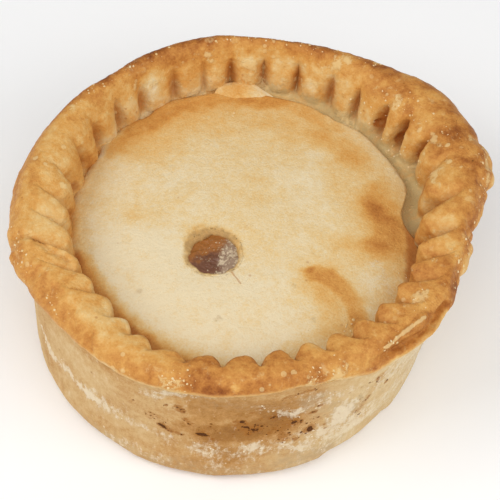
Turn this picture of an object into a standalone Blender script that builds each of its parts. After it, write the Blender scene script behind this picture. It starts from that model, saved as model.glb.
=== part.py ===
"""A small round pork pie: a crimped pastry case, a sunken lid and the filling in its steam hole.

Units are metres and +Z is up.  The pie stands on its flat base with the origin at the bottom,
in the middle of the outline seen from above.  +Y is the side where the rim stands tallest.
"""
import math

import bmesh
import bpy
import numpy as np
from mathutils import Vector

# ---- driving dimensions ----------------------------------------------------------------------
GAP = 0.0003                        # clearance between touching pieces
CRIMPS = 35                         # pinches round the rim
SAMPLES = 4                         # sections to a pinch
FIRST_CRIMP = 150.5                 # degrees, where the count of pinches starts

RIM_CENTRE = (-0.0002, 0.0003)      # puts the origin in the middle of the outline
BASE_CENTRE = (-0.0040, -0.0009)    # the rim leans over to one side of the base
BASE_RADIUS = 0.0414
BASE_ROUND = 0.0042                 # rounding of the bottom edge
HEIGHT = 0.0415

LIP_THICKNESS = 0.0014
LIP_SLOPE = 0.0007                  # how far the lip's lower corner is set back
PINCH_SHARPNESS = 6                 # higher makes a pinch narrower and the pads between fatter
PAD_SHARE = 0.45                    # a pad's bulge as a share of the pinch's depth
PINCH_SINK = 0.6                    # a pinch's dent in the top as a share of its depth

LID_EDGE = 0.0302                   # height of the lid at its edge
LID_DOME = 0.0030                   # how much the middle of the lid stands above its edge
LID_THICKNESS = 0.0042
LID_ROUND = 0.0014                  # rounding of the lid's edge
VALLEY = 0.0280                     # floor of the gap between lid and rim

HOLE_CENTRE = (-0.0079, -0.0074)
HOLE_RADIUS = 0.0047
HOLE_FLARE = 0.0013                 # how far the hole's mouth opens out
FILLING_SUNK = 0.0017               # top of the filling below the lid
FILLING_DEPTH = 0.0110
FILLING_LUMP = 0.0004               # how much the filling's middle stands up
FILLING_ROUND = 0.0006              # rounding of the filling's edge
CUT_ABOVE = 0.0040                  # how far cutters reach past the face they cut
CUT_BELOW = 0.0090

BASE_TURNS = (0, 30, 60, 90)        # degrees of the bottom edge's rounding
WALL_LEAN = ((0.35, 0.25), (0.7, 0.6), (1.0, 1.0))      # share of the rise, share of the lean
RIM_OUTLINE = (                     # share of the width in from outside, share of the drop
    (0.0, 0.94), (0.10, 0.48), (0.28, 0.14), (0.56, 0.0), (0.80, 0.05), (0.98, 0.24),
)
FACE_OUTLINE = ((0.2, 0.74), (0.65, 0.32), (1.0, 0.10))  # share towards the foot, share of height
BED_RINGS = (1.0, 0.6, 0.25)        # rings under the lid, as shares of its radius
LID_TURNS = (0, 45, 90)             # degrees of the lid's rounded edge
LID_RINGS = (0.8, 0.5, 0.25)        # rings on the lid, as shares of its radius

# Sizes that change round the pie: (angle in degrees anticlockwise from +X, size).
RIM_RADIUS = (                      # outside of the rim
    (0, 0.0458), (9, 0.0490), (16, 0.0513), (30, 0.0513), (40, 0.0514), (53, 0.0496), (68, 0.0471),
    (88, 0.0459), (106, 0.0471), (130, 0.0460), (160, 0.0474), (180, 0.0486), (200, 0.0500),
    (212, 0.0482), (222, 0.0478), (246, 0.0483), (264, 0.0470), (284, 0.0456), (302, 0.0452),
    (320, 0.0458), (342, 0.0449),
)
RIM_INNER = (                       # inner edge of the rim's top
    (0, 0.0384), (28, 0.0412), (50, 0.0402), (72, 0.0404), (110, 0.0404), (135, 0.0400),
    (158, 0.0388), (185, 0.0384), (205, 0.0388), (224, 0.0383), (248, 0.0405), (266, 0.0388),
    (286, 0.0371), (310, 0.0362), (335, 0.0362),
)
RIM_FOOT = (                        # foot of the rim's inner face
    (0, 0.0370), (28, 0.0398), (50, 0.0382), (90, 0.0390), (110, 0.0390), (135, 0.0384),
    (158, 0.0376), (185, 0.0374), (224, 0.0373), (248, 0.0382), (266, 0.0376), (290, 0.0366),
    (315, 0.0357), (340, 0.0358),
)
LID_RADIUS = (
    (0, 0.0352), (45, 0.0357), (76, 0.0371), (96, 0.0384), (125, 0.0378), (152, 0.0369),
    (180, 0.0364), (225, 0.0364), (270, 0.0360), (315, 0.0349),
)
LIP_OVERHANG = (                    # how far the rim stands out past the wall
    (0, 0.0022), (30, 0.0045), (90, 0.0030), (150, 0.0030), (203, 0.0038), (240, 0.0030),
    (280, 0.0024), (315, 0.0018), (340, 0.0015),
)
CREST_DIP = (                       # how far the crest falls below the full height
    (0, 0.0016), (45, 0.0004), (90, 0.0000), (130, 0.0002), (165, 0.0012), (205, 0.0022),
    (250, 0.0026), (290, 0.0024), (330, 0.0024),
)
BAND_DROP = (                       # from the crest down to the lip
    (0, 0.0052), (45, 0.0058), (110, 0.0060), (180, 0.0050), (230, 0.0042), (290, 0.0042),
    (330, 0.0046),
)
CRIMP_SHIFT = (                     # degrees that the even spacing of the pinches drifts by
    (0, -1.8), (30, 2.0), (60, 0.0), (140, -0.6), (190, 0.8), (240, 2.8), (290, 0.6), (330, -1.6),
)
CRIMP_SLANT = (                     # degrees that a pinch leans back between its two ends
    (0, 4.0), (45, -1.0), (90, 0.0), (140, -1.0), (185, -6.0), (215, -5.0), (250, -2.0),
    (290, 1.0), (330, 7.0),
)
PINCH_DEPTH = (                     # how far a pinch bites into the inner face
    (0, 0.0020), (90, 0.0017), (180, 0.0022), (270, 0.0022),
)
PINCH_REACH = (                     # how far a pinch runs out over the top of the rim
    (0, 0.0060), (40, 0.0020), (90, 0.0008), (140, 0.0014), (180, 0.0050), (215, 0.0060),
    (260, 0.0032), (300, 0.0040), (330, 0.0065),
)


# ---- helpers ---------------------------------------------------------------------------------
def around(table, degrees):
    """Read a size table at an angle, on one smooth closed curve."""
    angles = np.array([row[0] for row in table], float)
    values = np.array([row[1] for row in table], float)
    angles = np.concatenate([angles[-2:] - 360.0, angles, angles[:2] + 360.0])
    values = np.concatenate([values[-2:], values, values[:2]])
    slopes = np.gradient(values, angles)
    degrees = degrees % 360.0
    left = int(np.clip(np.searchsorted(angles, degrees, side="right") - 1, 0, len(angles) - 2))
    width = angles[left + 1] - angles[left]
    t = (degrees - angles[left]) / width
    rise = (3.0 - 2.0 * t) * t * t
    start = t * (1.0 - t) ** 2 * width * slopes[left]
    end = t * t * (t - 1.0) * width * slopes[left + 1]
    return float(values[left] * (1.0 - rise) + values[left + 1] * rise + start + end)


def polar(radius, degrees, height, centre=RIM_CENTRE):
    """A point given by its radius and angle round a centre."""
    angle = math.radians(degrees)
    return Vector((centre[0] + radius * math.cos(angle), centre[1] + radius * math.sin(angle), height))


def lid_height(radius, degrees):
    """Height of the lid's top: a low dome that rounds off at its edge."""
    edge = around(LID_RADIUS, degrees)
    dome = LID_DOME * (1.0 - (radius / edge) ** 2)
    over = max(0.0, radius - (edge - LID_ROUND)) / LID_ROUND
    return LID_EDGE + dome - LID_ROUND * (1.0 - math.sqrt(max(0.0, 1.0 - over * over)))


def crimp_angle(step):
    """Angle of a section, counted in pinches from the first."""
    even = FIRST_CRIMP + 360.0 * step / CRIMPS
    return even + around(CRIMP_SHIFT, even)


def loft(name, rings, start, end):
    """A closed mesh through rings of points, with a centre point closing each end."""
    shape = bmesh.new()
    count = len(rings[0])
    loops = [[shape.verts.new(point) for point in ring] for ring in rings]
    for lower, upper in zip(loops, loops[1:]):
        for i in range(count):
            j = (i + 1) % count
            shape.faces.new((lower[i], lower[j], upper[j], upper[i]))
    for loop, point, turned in ((loops[0], start, True), (loops[-1], end, False)):
        pole = shape.verts.new(point)
        for i in range(count):
            j = (i + 1) % count
            shape.faces.new((loop[j], loop[i], pole) if turned else (loop[i], loop[j], pole))
    mesh = bpy.data.meshes.new(name)
    shape.to_mesh(mesh)
    shape.free()
    mesh.shade_smooth()
    return mesh


def material(name, colour, roughness):
    """A plain finish for one piece."""
    finish = bpy.data.materials.new(name)
    finish.use_nodes = True
    shader = finish.node_tree.nodes["Principled BSDF"]
    shader.inputs["Base Color"].default_value = (*colour, 1.0)
    shader.inputs["Roughness"].default_value = roughness
    shader.inputs["Metallic"].default_value = 0.0
    return finish


def turned(name, profile, steps, centre, collection):
    """A closed turned shape: its profile runs from the top of the axis down to the bottom."""
    mesh = bpy.data.meshes.new(name)
    mesh.from_pydata([(r, 0.0, z) for r, z in profile], [(i, i + 1) for i in range(len(profile) - 1)], [])
    piece = bpy.data.objects.new(name, mesh)
    piece.location = (*centre, 0.0)
    collection.objects.link(piece)
    screw = piece.modifiers.new("Turn", 'SCREW')
    screw.steps = screw.render_steps = steps
    screw.use_merge_vertices = True
    screw.merge_threshold = 0.00001
    screw.use_smooth_shade = True
    return piece


def cut(piece, cutter):
    """Cut a piece with a wire-drawn cutter."""
    cutter.hide_render = True
    cutter.display_type = 'WIRE'
    boolean = piece.modifiers.new("Cut " + cutter.name, 'BOOLEAN')
    boolean.operation = 'DIFFERENCE'
    boolean.solver = 'EXACT'
    boolean.object = cutter


# ---- the pastry case -------------------------------------------------------------------------
def wall_points(degrees, rim, under):
    """The rounded foot of the wall and the wall itself, which leans out to the rim."""
    points = []
    for turn in BASE_TURNS:
        out = BASE_RADIUS - BASE_ROUND * (1.0 - math.sin(math.radians(turn)))
        up = BASE_ROUND * (1.0 - math.cos(math.radians(turn)))
        points.append(polar(out, degrees, up, BASE_CENTRE))
    low = points[-1]
    top = polar(rim - around(LIP_OVERHANG, degrees), degrees, under)
    for rise, lean in WALL_LEAN:
        point = low.lerp(top, lean)
        point.z = low.z + (top.z - low.z) * rise
        points.append(point)
    return points


def rim_points(degrees, pinch, rim, lip, crest):
    """The lip, the rounded top of the rim and its inner face, pinched and padded in turn."""
    slant = around(CRIMP_SLANT, degrees)
    depth = around(PINCH_DEPTH, degrees)
    reach = around(PINCH_REACH, degrees)
    inner = around(RIM_INNER, degrees)
    foot = around(RIM_FOOT, degrees)
    width = rim - inner
    bite = depth * ((1.0 + PAD_SHARE) * pinch - PAD_SHARE)

    points = [polar(rim - LIP_SLOPE, degrees, lip - LIP_THICKNESS)]
    for across, fall in RIM_OUTLINE:
        into_top = max(0.0, 1.0 - (1.0 - across) * width / reach)
        radius = rim - across * width + bite * into_top
        height = crest - fall * (crest - lip) - PINCH_SINK * depth * pinch * into_top
        points.append(polar(radius, degrees - slant * across, height))
    clear = around(LID_RADIUS, degrees - slant) + 2.5 * GAP
    for share, above in FACE_OUTLINE:
        radius = max(clear, (1.0 - share) * inner + share * foot + bite)
        points.append(polar(radius, degrees - slant, VALLEY + above * (crest - VALLEY)))
    return points


def floor_points(degrees):
    """The floor of the valley beside the lid, and the bed that the lid lies on."""
    edge = around(LID_RADIUS, degrees)
    points = [polar(edge + 2.0 * GAP, degrees, VALLEY)]
    for share in BED_RINGS:
        radius = share * edge + (GAP if share == 1.0 else 0.0)
        bed = lid_height(min(radius, edge - LID_ROUND), degrees) - LID_THICKNESS - GAP
        points.append(polar(radius, degrees, bed))
    return points


def case_section(step):
    """Points of the case at one section, from the base round the rim to under the lid."""
    degrees = crimp_angle(step)
    pinch = math.cos(math.pi * step) ** PINCH_SHARPNESS
    rim = around(RIM_RADIUS, degrees)
    crest = HEIGHT - around(CREST_DIP, degrees)
    lip = crest - around(BAND_DROP, degrees)
    return (wall_points(degrees, rim, lip - LIP_THICKNESS) + rim_points(degrees, pinch, rim, lip, crest)
            + floor_points(degrees - around(CRIMP_SLANT, degrees)))


def pastry_case(collection):
    """The case: base, wall and crimped rim in one solid of pastry, with a pocket for the filling."""
    sections = [case_section(i / SAMPLES) for i in range(CRIMPS * SAMPLES)]
    rings = [list(ring) for ring in zip(*sections)]
    bed = Vector((*RIM_CENTRE, lid_height(0.0, 0.0) - LID_THICKNESS - GAP))
    mesh = loft("pastry_case", rings, Vector((*BASE_CENTRE, 0.0)), bed)
    case = bpy.data.objects.new("pastry_case", mesh)
    case.data.materials.append(material("baked pastry", (0.56, 0.31, 0.11), 0.55))
    collection.objects.link(case)
    return case


# ---- the lid ---------------------------------------------------------------------------------
def lid(collection):
    """The lid: a low domed disc of pastry that lies inside the rim."""
    sections = []
    steps = 2 * CRIMPS
    for i in range(steps):
        degrees = 360.0 * i / steps
        edge = around(LID_RADIUS, degrees)
        section = []
        for share in reversed(BED_RINGS):
            bed = lid_height(min(share * edge, edge - LID_ROUND), degrees) - LID_THICKNESS
            section.append(polar(share * edge, degrees, bed))
        for turn in LID_TURNS:
            out = edge - LID_ROUND * (1.0 - math.cos(math.radians(turn)))
            section.append(polar(out, degrees, lid_height(out, degrees)))
        for share in LID_RINGS:
            section.append(polar(share * edge, degrees, lid_height(share * edge, degrees)))
        sections.append(section)
    rings = [list(ring) for ring in zip(*sections)]
    middle = lid_height(0.0, 0.0)
    under = Vector((*RIM_CENTRE, middle - LID_THICKNESS))
    mesh = loft("lid", rings, under, Vector((*RIM_CENTRE, middle)))
    disc = bpy.data.objects.new("lid", mesh)
    disc.data.materials.append(material("pale pastry", (0.76, 0.62, 0.40), 0.5))
    collection.objects.link(disc)
    return disc


# ---- the filling and the hole it shows in ----------------------------------------------------
def hole_height():
    """Height of the lid's top at the middle of the steam hole."""
    across = HOLE_CENTRE[0] - RIM_CENTRE[0]
    along = HOLE_CENTRE[1] - RIM_CENTRE[1]
    return lid_height(math.hypot(across, along), math.degrees(math.atan2(along, across)))


def filling(collection):
    """The plug of meat that shows in the steam hole and goes down into the case."""
    top = hole_height() - FILLING_SUNK
    radius = HOLE_RADIUS - GAP
    profile = [
        (0.0, top + FILLING_LUMP), (0.5 * radius, top + 0.7 * FILLING_LUMP),
        (radius - FILLING_ROUND, top), (radius, top - FILLING_ROUND),
        (radius, top - FILLING_DEPTH), (0.0, top - FILLING_DEPTH),
    ]
    plug = turned("filling", profile, 28, HOLE_CENTRE, collection)
    plug.data.materials.append(material("cooked meat", (0.16, 0.06, 0.02), 0.35))
    return plug


def hole_cutter(collection):
    """The steam hole's shape, with a mouth that opens out."""
    top = hole_height()
    mouth = HOLE_RADIUS + HOLE_FLARE
    profile = [
        (0.0, top + CUT_ABOVE), (mouth + HOLE_FLARE, top + CUT_ABOVE), (mouth, top),
        (HOLE_RADIUS + 0.38 * HOLE_FLARE, top - 0.38 * HOLE_FLARE), (HOLE_RADIUS, top - HOLE_FLARE),
        (HOLE_RADIUS, top - CUT_BELOW), (0.0, top - CUT_BELOW),
    ]
    return turned("hole cutter", profile, 32, HOLE_CENTRE, collection)


def pocket_cutter(collection):
    """The pocket in the case that the filling sits in."""
    top = hole_height()
    bottom = top - FILLING_SUNK - FILLING_DEPTH - GAP
    profile = [(0.0, top), (HOLE_RADIUS, top), (HOLE_RADIUS, bottom), (0.0, bottom)]
    return turned("pocket cutter", profile, 32, HOLE_CENTRE, collection)


# ---- the pie ---------------------------------------------------------------------------------
def main():
    """Clear the scene and build the pie."""
    for item in list(bpy.data.objects):
        bpy.data.objects.remove(item, do_unlink=True)
    parts = bpy.data.collections.new("pork_pie")
    cutters = bpy.data.collections.new("cutters")
    bpy.context.scene.collection.children.link(parts)
    bpy.context.scene.collection.children.link(cutters)
    cut(pastry_case(parts), pocket_cutter(cutters))
    cut(lid(parts), hole_cutter(cutters))
    filling(parts)


main()
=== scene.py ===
"""The looks of a small round pork pie: crimped rim, wall, sunken lid, filling, flour and crumbs.

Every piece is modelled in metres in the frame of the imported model, with +Z up and the pie's back
at +Y.  Places on the crust are written as (degrees, millimetres out from the middle of the rim,
millimetres up), which is how a baker's turntable would give them.
"""
from __future__ import annotations

import itertools
import logging
import math
from dataclasses import astuple, dataclass, field
from enum import Enum
from typing import Any

import bpy
import numpy as np
from mathutils import Matrix, Vector


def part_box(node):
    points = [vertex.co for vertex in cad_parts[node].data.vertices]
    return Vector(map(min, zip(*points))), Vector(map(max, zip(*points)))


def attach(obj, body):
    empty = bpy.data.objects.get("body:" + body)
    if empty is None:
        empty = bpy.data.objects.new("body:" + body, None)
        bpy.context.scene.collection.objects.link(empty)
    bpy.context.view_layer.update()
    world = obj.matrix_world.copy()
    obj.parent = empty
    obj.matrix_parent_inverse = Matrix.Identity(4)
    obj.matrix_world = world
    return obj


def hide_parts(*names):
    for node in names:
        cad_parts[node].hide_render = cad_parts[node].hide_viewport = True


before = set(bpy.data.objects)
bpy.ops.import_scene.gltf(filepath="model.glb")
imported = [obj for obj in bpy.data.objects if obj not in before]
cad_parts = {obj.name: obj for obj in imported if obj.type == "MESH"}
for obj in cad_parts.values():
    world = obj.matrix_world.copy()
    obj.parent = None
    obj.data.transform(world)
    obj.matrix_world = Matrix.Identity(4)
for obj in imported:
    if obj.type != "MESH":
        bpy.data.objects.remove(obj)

LOG = logging.getLogger("pork_pie")
MM = 0.001
BODY = "root"
TINY = 1e-12  # keeps a division from zero

HASH_STEPS = (374761393, 668265263, 2147483647)  # for the cells along x, y and z
HASH_SEED = 1274126177
HASH_TWISTS = ((13, 1103515245), (16, 69069))  # shift and factor of each stirring
HASH_WORD = 0xFFFFFFFF
CLOUD_RANGE = 1.4  # what layered noise adds up to, nearly

Piece = bpy.types.Object
Mesh = bpy.types.Mesh
Material = bpy.types.Material
Colour = tuple[float, float, float]
Place = tuple[float, float, float]
Line = tuple[tuple[float, ...], ...]
Settings = dict[str, Any] | None
Inputs = dict[str | int, Any] | None


class Slot(Enum):
    """The record's material slots."""

    BROWNED = "browned_crust"
    PALE = "pale_crust"
    MEAT = "cooked_meat"
    FLOUR = "flour_dust"
    BURNT = "burnt_crust"


class Tint(Enum):
    """Soft layers that a crust's mesh carries for its finish to read."""

    BAKE = "bake"          # how far the crust is browned
    # painted shade in pinches and crevices, with some real browning in the pinches
    GROOVE = "groove"      # depth in a pinch or a crevice
    PALE = "pale"          # dry blisters and flaked skin
    FLOUR = "flour"        # dusting of flour
    DAMP = "damp"          # moist or greyish places
    SCORCH = "scorch"      # where burnt specks gather
    CRUMB = "crumb"        # where loose flakes and grains lie
    RELIEF = "relief"      # how rough the surface may get


# ---- curves and noise ----
@dataclass(frozen=True)
class Ring:
    """A size that changes round the pie, on one smooth closed curve.

    Args:
        rows: (degrees anticlockwise from +X, size) in rising order of angle.
    """

    rows: tuple[tuple[float, float], ...]

    def at(self, degrees: np.ndarray | float) -> np.ndarray:
        """Read the size at some angles.

        Args:
            degrees: any angles.

        Returns:
            The sizes at those angles.
        """
        angles = np.array([row[0] for row in self.rows], float)
        values = np.array([row[1] for row in self.rows], float)
        angles = np.concatenate([angles[-2:] - 360.0, angles, angles[:2] + 360.0])
        values = np.concatenate([values[-2:], values, values[:2]])
        slopes = np.gradient(values, angles)
        turned = np.mod(degrees, 360.0)
        left = np.clip(np.searchsorted(angles, turned, side="right") - 1, 0, len(angles) - 2)
        width = angles[left + 1] - angles[left]
        t = (turned - angles[left]) / width
        rise = (3.0 - 2.0 * t) * t * t
        ends = t * (1.0 - t) ** 2 * slopes[left] + t * t * (t - 1.0) * slopes[left + 1]
        return values[left] * (1.0 - rise) + values[left + 1] * rise + width * ends


def smooth(value: np.ndarray, low: Any, high: Any) -> np.ndarray:
    """Rise smoothly from 0 at low to 1 at high."""
    t = np.clip((value - low) / (high - low), 0.0, 1.0)
    return t * t * (3.0 - 2.0 * t)


def towards(degrees: np.ndarray, middle: float, low: float, high: float) -> np.ndarray:
    """1 on the side of the pie that faces middle, 0 away from it, by the cosine of the angle."""
    return smooth(np.cos(np.radians(degrees - middle)), low, high)


def headings(columns: int) -> np.ndarray:
    """Unit vectors in even steps round the pie."""
    turn = 2.0 * math.pi * np.arange(columns) / columns
    return np.stack([np.cos(turn), np.sin(turn)], -1)


def lattice_noise(points: np.ndarray, size: float, seed: int) -> np.ndarray:
    """Smooth noise from -1 to 1 that repeats exactly each run.

    Args:
        points: places, with the last axis x, y, z.
        size: width of a lump, in metres.
        seed: picks one noise of many.

    Returns:
        One value for each place.
    """
    cells = points / size
    corner = np.floor(cells).astype(np.int64)
    part = cells - corner
    part = part * part * (3.0 - 2.0 * part)
    total = np.zeros(points.shape[:-1])
    for offset in itertools.product((0, 1), repeat=3):
        key = sum((corner[..., axis] + offset[axis]) * step for axis, step in enumerate(HASH_STEPS))
        key = (key + seed * HASH_SEED) & HASH_WORD
        for shift, factor in HASH_TWISTS:
            key = ((key ^ (key >> shift)) * factor) & HASH_WORD
        weight = np.prod(np.where(np.array(offset, bool), part, 1.0 - part), axis=-1)
        total += weight * ((key >> 8) / float(1 << 23) - 1.0)
    return total


def cloudy(points: np.ndarray, size: float, seed: int, octaves: int = 3) -> np.ndarray:
    """Layered noise from about -1 to 1, each layer half as wide and half as strong.

    Args:
        points: places, with the last axis x, y, z.
        size: width of the widest lumps, in metres.
        seed: picks one noise of many.
        octaves: how many layers.

    Returns:
        One value for each place.
    """
    total = np.zeros(points.shape[:-1])
    for octave in range(octaves):
        total += lattice_noise(points, size / 2 ** octave, seed + 31 * octave) / 2 ** octave
    return total / CLOUD_RANGE


# ---- the pie's own sizes ----
@dataclass(frozen=True)
class PieSizes:
    """Sizes that the pieces share.

    The rings and the single sizes repeat those of the solids, apart from hole_shift and lip_lift.
    All are in metres.
    """

    centre: tuple[float, float] = (-0.0002, 0.0003)
    base_centre: tuple[float, float] = (-0.0040, -0.0009)
    base_radius: float = 0.0414
    base_round: float = 0.0042
    lip_thickness: float = 0.0014
    lip_slope: float = 0.0007
    lid_edge: float = 0.0302
    lid_dome: float = 0.0030
    lid_thickness: float = 0.0042
    lid_round: float = 0.0014
    valley: float = 0.0280
    gap: float = 0.0003
    hole_shift: tuple[float, float] = (0.0003, -0.0012)
    rim_radius: Ring = Ring((
        (0, .0458), (9, .049), (16, .0513), (30, .0513), (40, .0514), (53, .0496), (68, .0471),
        (88, .0459), (106, .0471), (130, .046), (160, .0474), (180, .0486), (200, .05), (212, .0482),
        (222, .0478), (246, .0483), (264, .047), (284, .0456), (302, .0452), (320, .0458), (342, .0449)))
    rim_inner: Ring = Ring((
        (0, .0384), (28, .0412), (50, .0402), (72, .0404), (110, .0404), (135, .04), (158, .0388),
        (185, .0384), (205, .0388), (224, .0383), (248, .0405), (266, .0388), (286, .0371),
        (310, .0362), (335, .0362)))
    rim_foot: Ring = Ring((
        (0, .037), (28, .0398), (50, .0382), (90, .039), (110, .039), (135, .0384), (158, .0376),
        (185, .0374), (224, .0373), (248, .0382), (266, .0376), (290, .0366), (315, .0357),
        (340, .0358)))
    lid_radius: Ring = Ring((
        (0, .0352), (45, .0357), (76, .0371), (96, .0384), (125, .0378), (152, .0369), (180, .0364),
        (225, .0364), (270, .036), (315, .0349)))
    overhang: Ring = Ring((
        (0, .0022), (30, .0045), (90, .003), (150, .003), (203, .0038), (240, .003), (280, .0024),
        (315, .0018), (340, .0015)))
    crest_dip: Ring = Ring((
        (0, .0016), (45, .0004), (90, 0), (130, .0002), (165, .0012), (205, .0022), (250, .0026),
        (290, .0024), (330, .0024)))
    band_drop: Ring = Ring((
        (0, .0052), (45, .0058), (110, .006), (180, .005), (230, .0042), (290, .0042), (330, .0046)))
    lip_lift: Ring = Ring((
        (0, 0), (200, 0), (235, .0006), (247, .0009), (260, .0011), (272, .001), (278, .0014),
        (284, .002), (289, .0013), (295, .0009), (300, 0), (304, -.0008), (310, 0)))

    @property
    def height(self) -> float:
        """The pie's height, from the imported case."""
        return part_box("pastry_case")[1].z

    @property
    def hole_centre(self) -> tuple[float, float]:
        """Middle of the steam hole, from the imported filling."""
        low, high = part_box("filling")
        return (low.x + high.x) / 2.0, (low.y + high.y) / 2.0

    @property
    def hole(self) -> np.ndarray:
        """Middle of the steam hole as it is shaped here."""
        return np.array(self.hole_centre) + np.array(self.hole_shift)

    @property
    def hole_radius(self) -> float:
        """Radius of the steam hole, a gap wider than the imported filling."""
        low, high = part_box("filling")
        return (high.x - low.x) / 2.0 + self.gap

    def crest(self, degrees: np.ndarray) -> np.ndarray:
        """Height of the rim's top."""
        return self.height - self.crest_dip.at(degrees)

    def lip(self, degrees: np.ndarray) -> np.ndarray:
        """Height of the rim's outer edge, a little off the solid rim's at the front."""
        return self.crest(degrees) - self.band_drop.at(degrees) + self.lip_lift.at(degrees)

    def lid_height(self, radius: np.ndarray, degrees: np.ndarray) -> np.ndarray:
        """Height of the lid's top: a low dome that rounds off at its edge.

        Args:
            radius: distances from the pie's middle.
            degrees: angles round it.

        Returns:
            One height for each place.
        """
        edge = self.lid_radius.at(degrees)
        dome = self.lid_dome * (1.0 - (radius / edge) ** 2)
        over = np.maximum(0.0, radius - (edge - self.lid_round)) / self.lid_round
        fall = 1.0 - np.sqrt(np.maximum(0.0, 1.0 - over * over))
        return self.lid_edge + dome - self.lid_round * fall

    def polar(self, points: np.ndarray) -> tuple[np.ndarray, np.ndarray]:
        """Distances from the pie's middle, in metres, and angles round it, in degrees."""
        out = points[..., :2] - np.array(self.centre)
        return np.hypot(out[..., 0], out[..., 1]), np.degrees(np.arctan2(out[..., 1], out[..., 0]))

    def spot(self, place: Place) -> np.ndarray:
        """Turn a place into metres.

        Args:
            place: degrees, millimetres out and millimetres up.

        Returns:
            x, y and z.
        """
        angle = math.radians(place[0])
        return np.array([
            self.centre[0] + place[1] * MM * math.cos(angle),
            self.centre[1] + place[1] * MM * math.sin(angle),
            place[2] * MM])


PIE = PieSizes()


class Lay(Enum):
    """How the places of a mark are written."""

    TOP = "degrees and millimetres out, seen from above"
    SIDE = "degrees and millimetres up, over the wall"
    ROUND = "degrees, millimetres out and millimetres up"


@dataclass(frozen=True)
class Mark:
    """A soft-edged mark on the crust, round one place or along a line of places.

    Args:
        lay: how the places are written.
        places: where it runs.
        width: millimetres from its middle line to where it has faded.
        strength: how strong it is in the middle.
        core: share of the width that is at full strength.
        ragged: how far noise moves its outline, as a share of the width.
    """

    lay: Lay
    places: Line
    width: float
    strength: float = 1.0
    core: float = 0.3
    ragged: float = 0.35

    def unrolled(self, points: np.ndarray) -> np.ndarray:
        """Points as this mark measures them.

        Args:
            points: places on the crust, in metres.

        Returns:
            The same places in three or two dimensions, in metres.
        """
        if self.lay is Lay.ROUND:
            return points
        flat = points[..., :2] - np.array(PIE.centre)
        if self.lay is Lay.TOP:
            return flat
        turn = np.degrees(np.arctan2(flat[..., 1], flat[..., 0])) - self.places[0][0]
        turn = np.mod(turn + 180.0, 360.0) - 180.0
        return np.stack([np.radians(turn) * PIE.base_radius, points[..., 2]], -1)

    def spots(self) -> list[np.ndarray]:
        """Read the places as this mark measures them.

        Returns:
            The places in three or two dimensions, in metres.
        """
        if self.lay is Lay.ROUND:
            return [PIE.spot(place) for place in self.places]
        if self.lay is Lay.TOP:
            return [PIE.spot((*place, 0.0))[:2] - np.array(PIE.centre) for place in self.places]
        turns = [math.radians(place[0] - self.places[0][0]) * PIE.base_radius for place in self.places]
        return [np.array([turn, place[1] * MM]) for turn, place in zip(turns, self.places)]

    def on(self, points: np.ndarray, seed: int) -> np.ndarray:
        """How strong the mark is at each point.

        Args:
            points: places on the crust, in metres.
            seed: for the ragged outline.

        Returns:
            Strengths, 0 away from the mark.
        """
        spots, seen = self.spots(), self.unrolled(points)
        reach = self.width * MM
        apart = np.linalg.norm(seen - spots[0], axis=-1)
        for start, end in zip(spots, spots[1:]):
            run = end - start
            share = np.clip((seen - start) @ run / max(run @ run, TINY), 0.0, 1.0)
            apart = np.minimum(apart, np.linalg.norm(seen - start - share[..., None] * run, axis=-1))
        near = apart < 2.0 * reach
        if self.ragged and near.any():
            apart[near] += self.ragged * reach * cloudy(points[near], 0.9 * reach, seed, 4)
        return self.strength * (1.0 - smooth(apart / reach, self.core, 1.0))


Marks = tuple[Mark, ...]


def top(places: Line, width: float, *rest: float) -> Mark:
    """A mark whose places are degrees and millimetres out."""
    return Mark(Lay.TOP, places, width, *rest)


def side(places: Line, width: float, *rest: float) -> Mark:
    """A mark whose places are degrees and millimetres up the wall."""
    return Mark(Lay.SIDE, places, width, *rest)


def line(places: Line, width: float, *rest: float) -> Mark:
    """A mark whose places are degrees, millimetres out and millimetres up."""
    return Mark(Lay.ROUND, places, width, *rest)


def spot(degrees: float, out: float, up: float, width: float, *rest: float) -> Mark:
    """A mark round one place."""
    return line(((degrees, out, up),), width, *rest)


def dot(degrees: float, up: float, width: float, *rest: float) -> Mark:
    """A mark round one place on the wall."""
    return side(((degrees, up),), width, *rest)


def layered(points: np.ndarray, marks: Marks, seed: int) -> np.ndarray:
    """Add some marks up.

    Args:
        points: places on the crust, in metres.
        marks: the marks, whose order picks their ragged outlines.
        seed: of the first outline.

    Returns:
        The sum of the marks at each point.
    """
    total = np.zeros(points.shape[:-1])
    for number, mark in enumerate(marks):
        total += mark.on(points, seed + number)
    return total


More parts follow.
